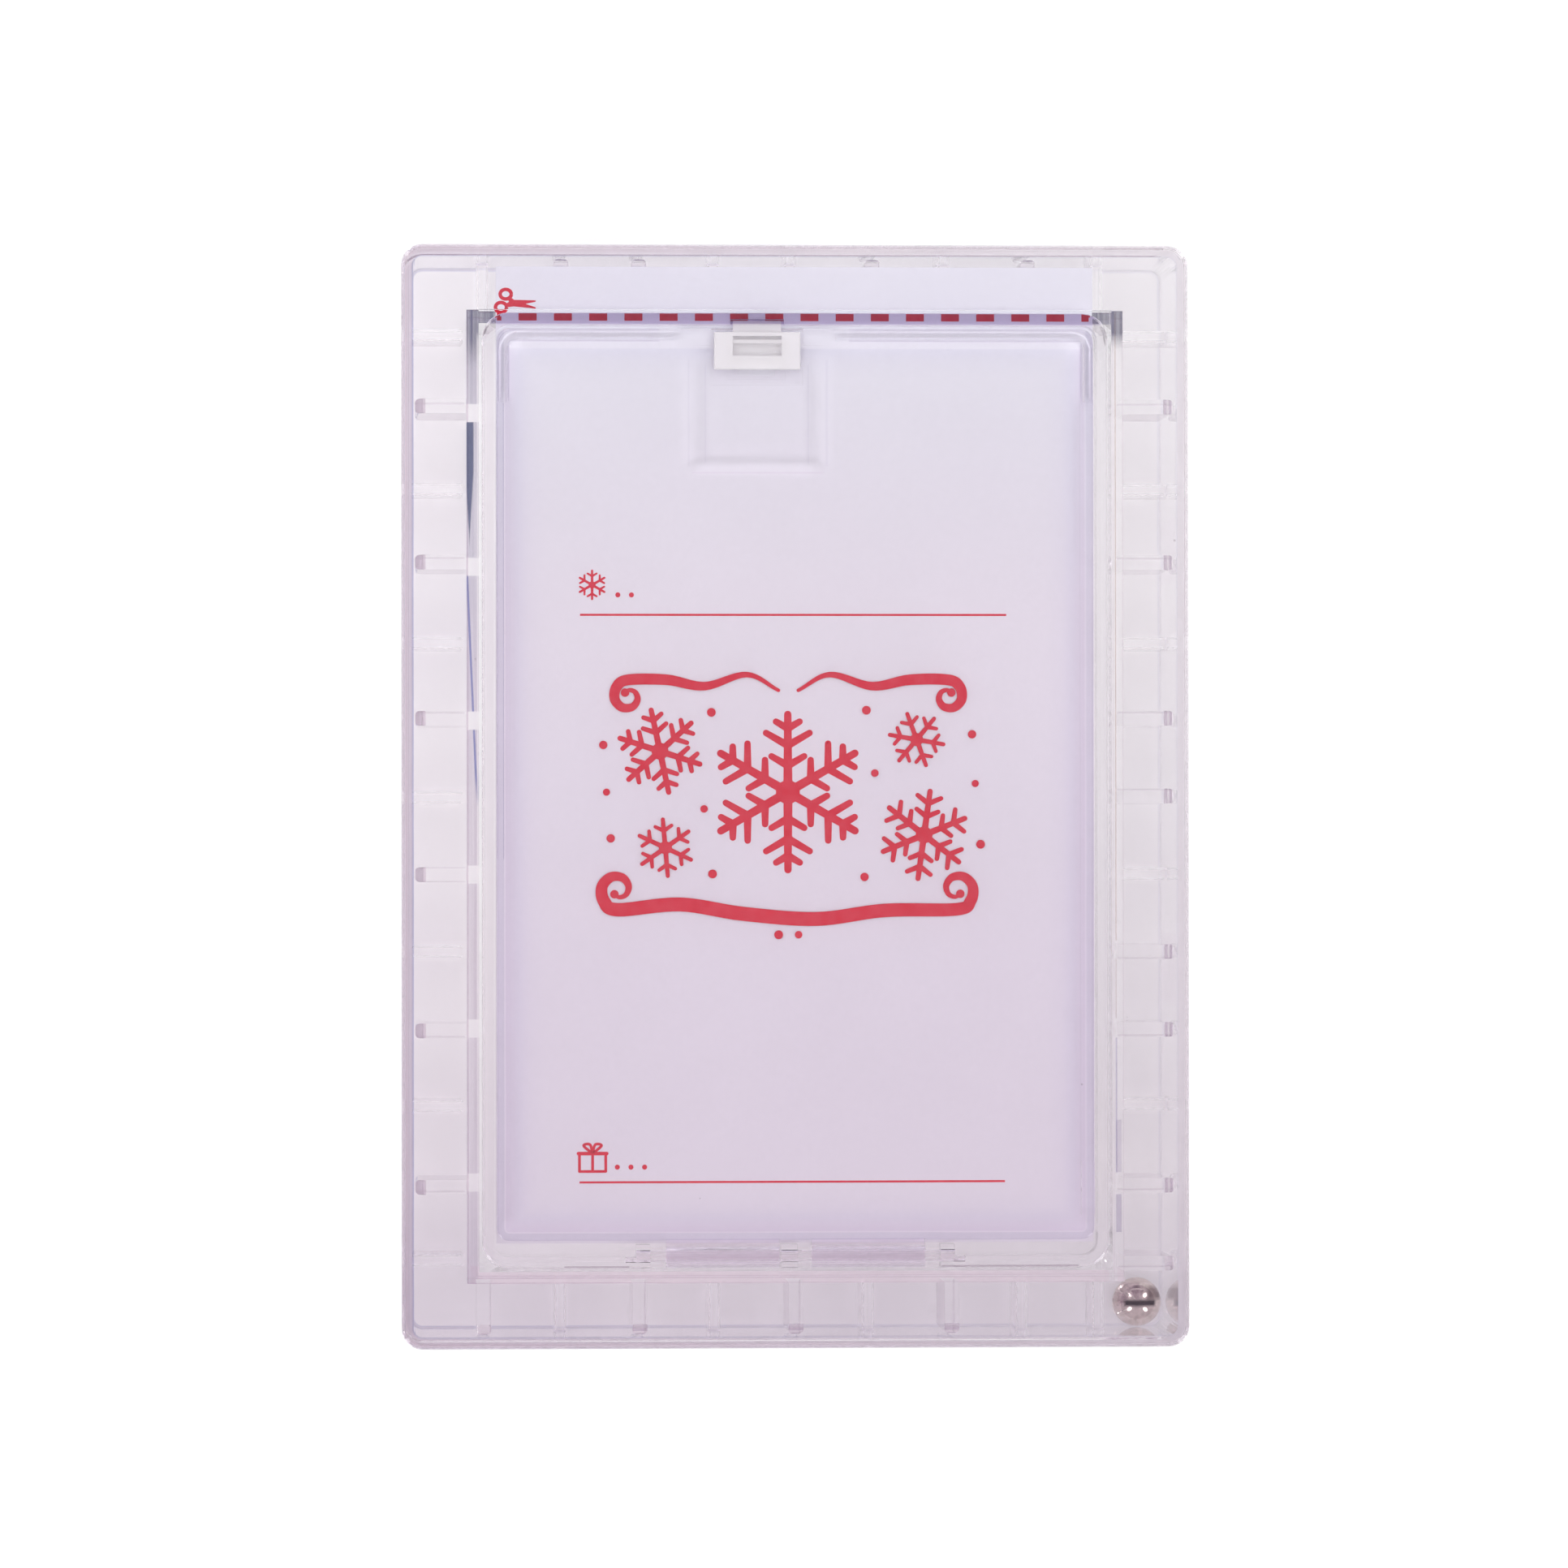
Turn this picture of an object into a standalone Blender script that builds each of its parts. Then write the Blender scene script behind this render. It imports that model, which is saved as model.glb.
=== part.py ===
"""Gift card maze puzzle: a clear box whose rim is a ball maze round a card compartment.

The box lies on its back. X is its width, Y its length with the hinge at -Y, and +Z
points out of the door side. The origin is at the centre of the back face.
"""

import math

import bmesh
import bpy
from mathutils import Matrix, Vector

MM = 0.001

# Outer case
CASE_WIDTH = 75.0 * MM
CASE_LENGTH = 105.0 * MM
CASE_DEPTH = 20.0 * MM
CASE_WALL = 1.0 * MM
CASE_CORNER_RADIUS = 2.0 * MM
COVER_THICKNESS = 1.2 * MM
SEAT_GAP = 0.3 * MM

# Maze channel, ribs and ball
CHANNEL_WIDTH = 5.2 * MM
MAZE_WALL = 1.15 * MM
RIB_PITCH = 7.43 * MM
HANGING_RIB_THICKNESS = 1.4 * MM
HANGING_RIB_HEIGHT = 11.8 * MM
HANGING_RIB_CHAMFER = 1.0 * MM
HANGING_RIB_END_RADIUS = 0.4 * MM
STANDING_RIB_THICKNESS = 1.15 * MM
STANDING_RIB_HEIGHT = 7.2 * MM
RIB_END_GAP = 0.3 * MM
STANDING_RIB_EDGE_RADIUS = 0.2 * MM
BALL_DIAMETER = 4.76 * MM
BALL_CLEARANCE = 0.05 * MM

# Card tray
TRAY_WALL = 1.1 * MM
TRAY_FLOOR = 1.2 * MM
TRAY_CORNER_RADIUS = 2.5 * MM
TRAY_BODY_GAP = 0.3 * MM
LEDGE_WIDTH = 0.8 * MM
POCKET_CORNER_RADIUS = 0.5 * MM
LEDGE_DROP = 2.7 * MM
TRAY_HEAD_BAR = 1.15 * MM
FOOT_LEDGE = 2.6 * MM

# Paper gift tag
TAG_THICKNESS = 0.25 * MM
TAG_SIDE_GAP = 0.25 * MM
TAG_REACH = 4.2 * MM
TAG_FOOT_LAP = 0.3 * MM
TAG_SLOT_HEIGHT = 0.9 * MM
TAG_SLOT_SIDE_GAP = 0.15 * MM
TAG_SLOT_MARGIN = 0.4 * MM

# Door
DOOR_THICKNESS = 1.3 * MM
DOOR_SIDE_GAP = 0.3 * MM
DOOR_CORNER_RADIUS = 1.2 * MM
DOOR_FACE_DROP = 0.55 * MM
BEAD_RADIUS = 0.46 * MM
BEAD_CORNER_RADIUS = 1.4 * MM
BEAD_INSET = 0.2 * MM
HEAD_BEAD_DROP = 7.0 * MM
RIM_WIDTH = 1.3 * MM
RIM_RISE = 0.2 * MM
RIM_PAD_RISE = 0.45 * MM
RIM_PAD_LENGTH = 5.2 * MM
RIM_PAD_FROM_FOOT = 2.3 * MM

# Hinge
HINGE_RADIUS = 1.1 * MM
HINGE_RUNNING_GAP = 0.3 * MM
PIN_RADIUS = 0.55 * MM
PIN_CLEARANCE = 0.05 * MM
DOOR_FOOT_TO_AXIS = 1.5 * MM
BARREL_LENGTH = 10.8 * MM
LUG_SIDE_GAP = 0.15 * MM
CENTRE_LUG_WIDTH = 1.6 * MM
CENTRE_GAP = 1.3 * MM
END_LUG_WIDTH = 1.35 * MM
END_LUG_GAP = 1.5 * MM

# Latch
LATCH_OFFSET = -3.65 * MM
LATCH_WIDTH = 8.25 * MM
LATCH_LENGTH = 3.6 * MM
LATCH_HEAD_INSET = 0.35 * MM
LATCH_THROW = 1.2 * MM
LATCH_CLEARANCE = 0.15 * MM
LATCH_SIDE_GAP = 0.25 * MM
LATCH_BED_DEPTH = 0.6 * MM
WINDOW_WIDTH = 4.65 * MM
WINDOW_LENGTH = 1.9 * MM
WINDOW_DEPTH = 0.7 * MM
WINDOW_INSET = 0.4 * MM
FINGER_BAR_THICKNESS = 0.35 * MM
FINGER_BAR_INSET = 0.35 * MM
FINGER_BAR_DROP = 0.15 * MM
BOLT_WIDTH = 4.6 * MM
BOLT_THICKNESS = 0.55 * MM
BOLT_LAP = 0.4 * MM
STEM_WIDTH = 3.1 * MM
STEM_LENGTH = 1.9 * MM
FLANGE_WIDTH = 5.2 * MM
FLANGE_LENGTH = 2.6 * MM
FLANGE_THICKNESS = 0.2 * MM
FLANGE_POCKET_DEPTH = 0.3 * MM

# Thumb recess under the latch
RECESS_WIDTH = 13.4 * MM
RECESS_LENGTH = 11.8 * MM
RECESS_SIDE_SLOPE = 1.6 * MM
RECESS_FOOT_SLOPE = 0.9 * MM
RECESS_HEAD_INSET = 1.6 * MM
RECESS_DEPTH = 0.2 * MM

# Joins and cuts
OVERRUN = 1.0 * MM
BITE = 0.4 * MM
MERGE_DISTANCE = 0.001 * MM
CORNER_STEPS = 6
RIB_END_STEPS = 3
ROUND_PROFILE = 0.5
ROUND_SIDES = 24
BALL_RINGS = 16
SOFT_EDGE_STEPS = 2
SOFT_EDGE_ANGLE = math.radians(30)
FLAT_ANGLE = math.radians(1)
QUARTER_TURN = math.radians(90)

# Rounded edges
SHELL_EDGE_RADIUS = 0.35 * MM
RIM_EDGE_RADIUS = 0.25 * MM
DOOR_EDGE_RADIUS = 0.15 * MM
LATCH_EDGE_RADIUS = 0.12 * MM

# Which steps of the rib pitch carry a rib, counted from the middle of each side.
# Hanging ribs come down from the front, standing ribs come up from the back.
LEFT_HANGING = (-5, -3, -1, 1, 3, 5)
LEFT_STANDING = (-6, -4, -2, 0, 2, 4, 6)
RIGHT_HANGING = (-6, -5, -3, -2, 0, 1, 3, 5)
RIGHT_STANDING = (-4, -1, 2, 4, 6)
HEAD_HANGING = (-3, -2, 1, 3)
HEAD_STANDING = (-4, -1, 0, 2, 4)
FOOT_HANGING = (-4, -2, 0, 2)
FOOT_STANDING = (-3, -1, 1, 3, 4)

# Planes and lines that several pieces share
CASE_HALF_X = CASE_WIDTH / 2
CASE_HALF_Y = CASE_LENGTH / 2
CHANNEL_HALF_X = CASE_HALF_X - CASE_WALL
CHANNEL_HALF_Y = CASE_HALF_Y - CASE_WALL
MAZE_HALF_X = CHANNEL_HALF_X - CHANNEL_WIDTH
MAZE_HALF_Y = CHANNEL_HALF_Y - CHANNEL_WIDTH
WELL_HALF_X = MAZE_HALF_X - MAZE_WALL
WELL_HALF_Y = MAZE_HALF_Y - MAZE_WALL
COVER_UNDERSIDE = CASE_DEPTH - COVER_THICKNESS
CASE_RIM = COVER_UNDERSIDE - SEAT_GAP

TRAY_BOTTOM = COVER_THICKNESS + SEAT_GAP
TRAY_HALF_X = WELL_HALF_X - TRAY_BODY_GAP
TRAY_HALF_Y = WELL_HALF_Y - TRAY_BODY_GAP
TRAY_HEAD = MAZE_HALF_Y - TRAY_BODY_GAP
TRAY_BORE_X = TRAY_HALF_X - TRAY_WALL
TRAY_BORE_HEAD = TRAY_HEAD - TRAY_HEAD_BAR
LEDGE_TOP = CASE_DEPTH - LEDGE_DROP
POCKET_HALF_X = TRAY_BORE_X - LEDGE_WIDTH
POCKET_HEAD = TRAY_HALF_Y - TRAY_WALL
POCKET_FOOT = -(TRAY_HALF_Y - FOOT_LEDGE)
TAG_BOTTOM = LEDGE_TOP + SEAT_GAP
SLOT_TOP = LEDGE_TOP + TAG_SLOT_HEIGHT

DOOR_TOP = CASE_DEPTH - DOOR_FACE_DROP
DOOR_BOTTOM = DOOR_TOP - DOOR_THICKNESS
DOOR_HALF_X = TRAY_BORE_X - DOOR_SIDE_GAP
DOOR_HEAD = TRAY_BORE_HEAD - DOOR_SIDE_GAP
HINGE_Y = -(WELL_HALF_Y - HINGE_RUNNING_GAP - HINGE_RADIUS)
HINGE_Z = CASE_DEPTH - HINGE_RADIUS
DOOR_FOOT = HINGE_Y + DOOR_FOOT_TO_AXIS

LATCH_HEAD = DOOR_HEAD - LATCH_HEAD_INSET
LATCH_FOOT = LATCH_HEAD - LATCH_LENGTH
LATCH_BED = DOOR_TOP - LATCH_BED_DEPTH
LATCH_BOTTOM = LATCH_BED + LATCH_CLEARANCE
WINDOW_HEAD = LATCH_HEAD - WINDOW_INSET

BALL_RADIUS = BALL_DIAMETER / 2


def clear_scene():
    """Remove the objects that the scene starts with."""
    for old in list(bpy.data.objects):
        bpy.data.objects.remove(old, do_unlink=True)


def new_collection(name):
    """A collection of this name under the scene's own."""
    collection = bpy.data.collections.new(name)
    bpy.context.scene.collection.children.link(collection)
    return collection


def plastic(name, tint, roughness):
    """Clear moulded plastic."""
    material = bpy.data.materials.new(name)
    material.use_nodes = True
    shader = material.node_tree.nodes["Principled BSDF"]
    shader.inputs["Base Color"].default_value = (*tint, 1)
    shader.inputs["Roughness"].default_value = roughness
    shader.inputs["Transmission Weight"].default_value = 1
    shader.inputs["Alpha"].default_value = 0.35
    return material


def opaque(name, colour, roughness, metallic):
    """A plain opaque finish."""
    material = bpy.data.materials.new(name)
    material.use_nodes = True
    shader = material.node_tree.nodes["Principled BSDF"]
    shader.inputs["Base Color"].default_value = (*colour, 1)
    shader.inputs["Roughness"].default_value = roughness
    shader.inputs["Metallic"].default_value = metallic
    return material


def mesh_object(name, shape, collection):
    """Turn a bmesh into an object in this collection."""
    mesh = bpy.data.meshes.new(name)
    shape.to_mesh(mesh)
    shape.free()
    thing = bpy.data.objects.new(name, mesh)
    collection.objects.link(thing)
    return thing


def add_box(shape, low, high):
    """Add a box between two corners to a bmesh and return its corners."""
    size = Vector(high) - Vector(low)
    middle = (Vector(high) + Vector(low)) / 2
    place = Matrix.Translation(middle) @ Matrix.Diagonal((*size, 1))
    return bmesh.ops.create_cube(shape, size=1, matrix=place)["verts"]


def add_prism(shape, profile, low_y, high_y):
    """Add a prism along Y whose end is this profile of X and Z to a bmesh."""
    ends = [[shape.verts.new((x, y, z)) for x, z in profile] for y in (low_y, high_y)]
    shape.faces.new(ends[0])
    shape.faces.new(reversed(ends[1]))
    for place in range(len(profile)):
        shape.faces.new(
            (ends[0][place - 1], ends[1][place - 1], ends[1][place], ends[0][place])
        )


def add_rod(shape, radius, start_x, end_x, centre_y, centre_z):
    """Add a round rod along X to a bmesh."""
    turn = Matrix.Rotation(QUARTER_TURN, 4, "Y")
    middle = Vector(((start_x + end_x) / 2, centre_y, centre_z))
    bmesh.ops.create_cone(
        shape,
        cap_ends=True,
        segments=ROUND_SIDES,
        radius1=radius,
        radius2=radius,
        depth=end_x - start_x,
        matrix=Matrix.Translation(middle) @ turn,
    )


def box_object(name, low, high, collection):
    """A box between two corners as an object."""
    shape = bmesh.new()
    add_box(shape, low, high)
    return mesh_object(name, shape, collection)


def curve_to_mesh(name, curve, collection):
    """Make the solid of a curve as a closed mesh object, with its caps welded."""
    guide = bpy.data.objects.new(name + "_outline", curve)
    collection.objects.link(guide)
    bpy.context.view_layer.update()
    depsgraph = bpy.context.evaluated_depsgraph_get()
    mesh = bpy.data.meshes.new_from_object(guide.evaluated_get(depsgraph))
    mesh.name = name
    shape = bmesh.new()
    shape.from_mesh(mesh)
    bmesh.ops.remove_doubles(shape, verts=shape.verts, dist=MERGE_DISTANCE)
    bmesh.ops.dissolve_limit(
        shape, angle_limit=FLAT_ANGLE, verts=shape.verts, edges=shape.edges
    )
    bmesh.ops.recalc_face_normals(shape, faces=shape.faces)
    shape.to_mesh(mesh)
    shape.free()
    thing = bpy.data.objects.new(name, mesh)
    thing.matrix_world = guide.matrix_world
    collection.objects.link(thing)
    bpy.data.objects.remove(guide, do_unlink=True)
    bpy.data.curves.remove(curve)
    return thing


def rounded_outline(low, high, radius):
    """Points round a rectangle whose corners are arcs of this radius."""
    centres = (
        (high[0] - radius, high[1] - radius),
        (low[0] + radius, high[1] - radius),
        (low[0] + radius, low[1] + radius),
        (high[0] - radius, low[1] + radius),
    )
    points = []
    for corner, (centre_x, centre_y) in enumerate(centres):
        for step in range(CORNER_STEPS + 1):
            angle = QUARTER_TURN * (corner + step / CORNER_STEPS)
            points.append((centre_x + radius * math.cos(angle), centre_y + radius * math.sin(angle)))
    return points


def rounded_slab(name, low, high, radius, collection):
    """A slab between two corners, with rounded corners in plan."""
    curve = bpy.data.curves.new(name, "CURVE")
    curve.dimensions = "2D"
    curve.fill_mode = "BOTH"
    curve.extrude = (high[2] - low[2]) / 2
    outline = rounded_outline(low, high, radius)
    spline = curve.splines.new("POLY")
    spline.points.add(len(outline) - 1)
    for point, (x, y) in zip(spline.points, outline):
        point.co = (x, y, 0, 1)
    spline.use_cyclic_u = True
    slab = curve_to_mesh(name, curve, collection)
    slab.data.transform(Matrix.Translation((0, 0, (low[2] + high[2]) / 2)))
    return slab


def soften(thing, radius, steps):
    """Round the sharp edges of a piece as they are before later cuts and joins."""
    bevel = thing.modifiers.new("soft_edges", "BEVEL")
    bevel.width = radius
    bevel.segments = steps
    bevel.limit_method = "ANGLE"
    bevel.angle_limit = SOFT_EDGE_ANGLE


def combine(target, tool, operation):
    """Join a tool to a target, or cut it away, and leave the tool as a guide."""
    modifier = target.modifiers.new(tool.name, "BOOLEAN")
    modifier.object = tool
    modifier.operation = operation
    modifier.solver = "EXACT"
    tool.hide_render = True
    tool.display_type = "WIRE"


def cut(target, tool):
    combine(target, tool, "DIFFERENCE")


def fuse(target, tool):
    combine(target, tool, "UNION")


def add_rib(shape, side, step, hanging):
    """Add one maze rib to a bmesh.

    The rib crosses the channel on one side of the box. A hanging rib bites into the
    maze wall and the front cover, and its free end is rounded, with a chamfer under the
    cover. A standing rib bites into the case wall and the back.
    """
    along_y = side in ("left", "right")
    outer_line = CHANNEL_HALF_X if along_y else CHANNEL_HALF_Y
    inner_line = MAZE_HALF_X if along_y else MAZE_HALF_Y
    if hanging:
        half = HANGING_RIB_THICKNESS / 2
        near, far = inner_line - BITE, outer_line - RIB_END_GAP
        bottom = COVER_UNDERSIDE - HANGING_RIB_HEIGHT
        top = COVER_UNDERSIDE + BITE
        chamfer = (
            (far, COVER_UNDERSIDE - HANGING_RIB_CHAMFER),
            (far - HANGING_RIB_CHAMFER, COVER_UNDERSIDE),
            (far - HANGING_RIB_CHAMFER, top),
        )
        profile = ((near, bottom), (far, bottom), *chamfer, (near, top))
    else:
        half = STANDING_RIB_THICKNESS / 2
        near, far = inner_line + RIB_END_GAP, outer_line + BITE
        bottom = COVER_THICKNESS - BITE
        top = COVER_THICKNESS + STANDING_RIB_HEIGHT
        profile = ((near, bottom), (far, bottom), (far, top), (near, top))
    middle = step * RIB_PITCH
    earlier = set(shape.verts)
    add_prism(shape, profile, middle - half, middle + half)
    if hanging:
        end_edges = [
            edge
            for edge in set(shape.edges)
            if edge.verts[0] not in earlier
            and all(corner.co.x > far - MERGE_DISTANCE for corner in edge.verts)
            and abs(edge.verts[0].co.z - edge.verts[1].co.z) > MERGE_DISTANCE
        ]
        bmesh.ops.bevel(
            shape,
            geom=end_edges,
            offset=HANGING_RIB_END_RADIUS,
            segments=RIB_END_STEPS,
            profile=ROUND_PROFILE,
            affect="EDGES",
        )
    corners = [corner for corner in shape.verts if corner not in earlier]
    turns = {"right": 0, "head": 1, "left": 2, "foot": 3}
    turn = Matrix.Rotation(QUARTER_TURN * turns[side], 4, "Z")
    # Turning a side's rib about Z also turns its step, so the step is turned back.
    sign = {"right": 1, "head": -1, "left": -1, "foot": 1}[side]
    flip = Matrix.Diagonal((1, sign, 1, 1))
    bmesh.ops.transform(shape, matrix=turn @ flip, verts=corners)


def rib_set(name, rows, hanging, collection):
    """All the ribs of one kind as one guide object of separate bodies.

    A rib that would stand past the maze wall's corner is left out.
    """
    shape = bmesh.new()
    for side, steps in rows:
        reach = MAZE_HALF_Y if side in ("left", "right") else MAZE_HALF_X
        for step in steps:
            if abs(step) * RIB_PITCH + HANGING_RIB_THICKNESS / 2 < reach:
                add_rib(shape, side, step, hanging)
    bmesh.ops.recalc_face_normals(shape, faces=shape.faces)
    ribs = mesh_object(name, shape, collection)
    if not hanging:
        soften(ribs, STANDING_RIB_EDGE_RADIUS, 1)
    return ribs


def make_outer_case(parts, tools, material):
    """Back cover and outer wall in one, with the standing ribs."""
    case = rounded_slab(
        "outer_case",
        (-CASE_HALF_X, -CASE_HALF_Y, 0),
        (CASE_HALF_X, CASE_HALF_Y, CASE_RIM),
        CASE_CORNER_RADIUS,
        parts,
    )
    soften(case, SHELL_EDGE_RADIUS, SOFT_EDGE_STEPS)
    inside = rounded_slab(
        "case_inside",
        (-CHANNEL_HALF_X, -CHANNEL_HALF_Y, COVER_THICKNESS),
        (CHANNEL_HALF_X, CHANNEL_HALF_Y, CASE_RIM + OVERRUN),
        CASE_CORNER_RADIUS - CASE_WALL,
        tools,
    )
    cut(case, inside)
    rows = (
        ("left", LEFT_STANDING),
        ("right", RIGHT_STANDING),
        ("head", HEAD_STANDING),
        ("foot", FOOT_STANDING),
    )
    fuse(case, rib_set("standing_ribs", rows, False, tools))
    case.data.materials.append(material)


def make_maze_frame(parts, tools, material):
    """Front cover ring and maze wall in one, with the hanging ribs."""
    frame = rounded_slab(
        "maze_frame",
        (-CASE_HALF_X, -CASE_HALF_Y, COVER_UNDERSIDE),
        (CASE_HALF_X, CASE_HALF_Y, CASE_DEPTH),
        CASE_CORNER_RADIUS,
        parts,
    )
    soften(frame, SHELL_EDGE_RADIUS, SOFT_EDGE_STEPS)
    wall = box_object(
        "maze_wall",
        (-MAZE_HALF_X, -MAZE_HALF_Y, TRAY_BOTTOM),
        (MAZE_HALF_X, MAZE_HALF_Y, COVER_UNDERSIDE + BITE),
        tools,
    )
    fuse(frame, wall)
    rows = (
        ("left", LEFT_HANGING),
        ("right", RIGHT_HANGING),
        ("head", HEAD_HANGING),
        ("foot", FOOT_HANGING),
    )
    fuse(frame, rib_set("hanging_ribs", rows, True, tools))
    well = box_object(
        "well",
        (-WELL_HALF_X, -WELL_HALF_Y, TRAY_BOTTOM - OVERRUN),
        (WELL_HALF_X, WELL_HALF_Y, CASE_DEPTH + OVERRUN),
        tools,
    )
    cut(frame, well)
    head_seat = box_object(
        "head_bar_seat",
        (-WELL_HALF_X, 0, LEDGE_TOP),
        (WELL_HALF_X, MAZE_HALF_Y, CASE_DEPTH + OVERRUN),
        tools,
    )
    cut(frame, head_seat)
    tag_half = TRAY_BORE_X - TAG_SIDE_GAP + TAG_SLOT_MARGIN
    tag_room = box_object(
        "tag_room",
        (-tag_half, 0, LEDGE_TOP),
        (tag_half, MAZE_HALF_Y + TAG_REACH + TAG_SLOT_MARGIN, COVER_UNDERSIDE),
        tools,
    )
    cut(frame, tag_room)
    frame.data.materials.append(material)


def make_card_tray(parts, tools, material):
    """Card compartment with its visible rim, tag ledge, tag slot and hinge lugs."""
    tray = rounded_slab(
        "card_tray",
        (-TRAY_HALF_X, -TRAY_HALF_Y, TRAY_BOTTOM),
        (TRAY_HALF_X, TRAY_HALF_Y, LEDGE_TOP + BITE),
        TRAY_CORNER_RADIUS,
        parts,
    )
    rim = rounded_slab(
        "tray_rim",
        (-TRAY_HALF_X, -TRAY_HALF_Y, LEDGE_TOP),
        (TRAY_HALF_X, TRAY_HEAD, CASE_DEPTH),
        TRAY_CORNER_RADIUS,
        tools,
    )
    soften(rim, RIM_EDGE_RADIUS, SOFT_EDGE_STEPS)
    fuse(tray, rim)
    rim_bore = rounded_slab(
        "rim_bore",
        (-TRAY_BORE_X, -(TRAY_HALF_Y - TRAY_WALL), LEDGE_TOP),
        (TRAY_BORE_X, TRAY_BORE_HEAD, CASE_DEPTH + OVERRUN),
        TRAY_CORNER_RADIUS - TRAY_WALL,
        tools,
    )
    cut(tray, rim_bore)
    pocket = rounded_slab(
        "card_pocket",
        (-POCKET_HALF_X, POCKET_FOOT, TRAY_BOTTOM + TRAY_FLOOR),
        (POCKET_HALF_X, POCKET_HEAD, CASE_DEPTH),
        POCKET_CORNER_RADIUS,
        tools,
    )
    cut(tray, pocket)
    # The rim's head bar lies over the maze wall, clear of the seat cut in it.
    head_relief = box_object(
        "head_relief",
        (-CASE_HALF_X, TRAY_HALF_Y, TRAY_BOTTOM - OVERRUN),
        (CASE_HALF_X, CASE_HALF_Y, LEDGE_TOP + SEAT_GAP),
        tools,
    )
    cut(tray, head_relief)
    slot_half = TRAY_BORE_X - TAG_SIDE_GAP + TAG_SLOT_SIDE_GAP
    tag_slot = box_object(
        "tag_slot",
        (-slot_half, TRAY_HALF_Y - TRAY_WALL - OVERRUN, LEDGE_TOP),
        (slot_half, CASE_HALF_Y, SLOT_TOP),
        tools,
    )
    cut(tray, tag_slot)
    add_hinge_lugs(tray, tools)
    bolt_hole = box_object(
        "bolt_hole",
        (
            LATCH_OFFSET - BOLT_WIDTH / 2 - LATCH_SIDE_GAP,
            TRAY_BORE_HEAD - OVERRUN,
            LATCH_BOTTOM - LATCH_CLEARANCE,
        ),
        (
            LATCH_OFFSET + BOLT_WIDTH / 2 + LATCH_SIDE_GAP,
            TRAY_BORE_HEAD + BOLT_LAP + LATCH_CLEARANCE,
            LATCH_BOTTOM + BOLT_THICKNESS + LATCH_CLEARANCE,
        ),
        tools,
    )
    cut(tray, bolt_hole)
    tray.data.materials.append(material)


def lug_spans():
    """Where the three hinge lugs start and end along X."""
    centre_start = -CENTRE_LUG_WIDTH + LUG_SIDE_GAP
    left_barrel_start, left_barrel_end, right_barrel_start, right_barrel_end = barrel_ends()
    left_end = left_barrel_start - END_LUG_GAP
    right_start = right_barrel_end + END_LUG_GAP
    return (
        (left_end - END_LUG_WIDTH, left_end),
        (centre_start, centre_start + CENTRE_LUG_WIDTH),
        (right_start, right_start + END_LUG_WIDTH),
    )


def barrel_ends():
    """Where the door's two hinge barrels start and end along X."""
    left_end = -CENTRE_LUG_WIDTH
    right_start = LUG_SIDE_GAP + CENTRE_GAP
    return (left_end - BARREL_LENGTH, left_end, right_start, right_start + BARREL_LENGTH)


def add_hinge_lugs(tray, tools):
    """Three lugs on the foot ledge that carry the hinge pin."""
    shape = bmesh.new()
    for start, end in lug_spans():
        add_box(
            shape,
            (start, -TRAY_HALF_Y + BITE, LEDGE_TOP - BITE),
            (end, HINGE_Y + HINGE_RADIUS, CASE_DEPTH - SEAT_GAP),
        )
    fuse(tray, mesh_object("hinge_lugs", shape, tools))
    bore = bmesh.new()
    spans = lug_spans()
    add_rod(
        bore,
        PIN_RADIUS + PIN_CLEARANCE,
        spans[0][0] - OVERRUN,
        spans[-1][1] + OVERRUN,
        HINGE_Y,
        HINGE_Z,
    )
    # The rim's foot bar opens behind the lugs, so the barrels have room to turn.
    barrel_room = box_object(
        "barrel_room",
        (spans[0][1], -(TRAY_HALF_Y + OVERRUN), LEDGE_TOP),
        (spans[1][0], -(TRAY_HALF_Y - TRAY_WALL - OVERRUN), CASE_DEPTH + OVERRUN),
        tools,
    )
    cut(tray, barrel_room)
    barrel_room_right = box_object(
        "barrel_room_right",
        (spans[1][1], -(TRAY_HALF_Y + OVERRUN), LEDGE_TOP),
        (spans[2][0], -(TRAY_HALF_Y - TRAY_WALL - OVERRUN), CASE_DEPTH + OVERRUN),
        tools,
    )
    cut(tray, barrel_room_right)
    cut(tray, mesh_object("lug_bore", bore, tools))


def make_hinge_pin(parts, material):
    """Straight pin through the lugs and the door's barrels."""
    spans = lug_spans()
    shape = bmesh.new()
    add_rod(shape, PIN_RADIUS, spans[0][0], spans[-1][1], 0, 0)
    pin = mesh_object("hinge_pin", shape, parts)
    pin.location = (0, HINGE_Y, HINGE_Z)
    shade_round(pin)
    pin.data.materials.append(material)


def shade_round(thing):
    """Smooth shading that keeps the sharp edges."""
    thing.data.shade_smooth()
    thing.data.set_sharp_from_angle(angle=SOFT_EDGE_ANGLE)


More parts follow.
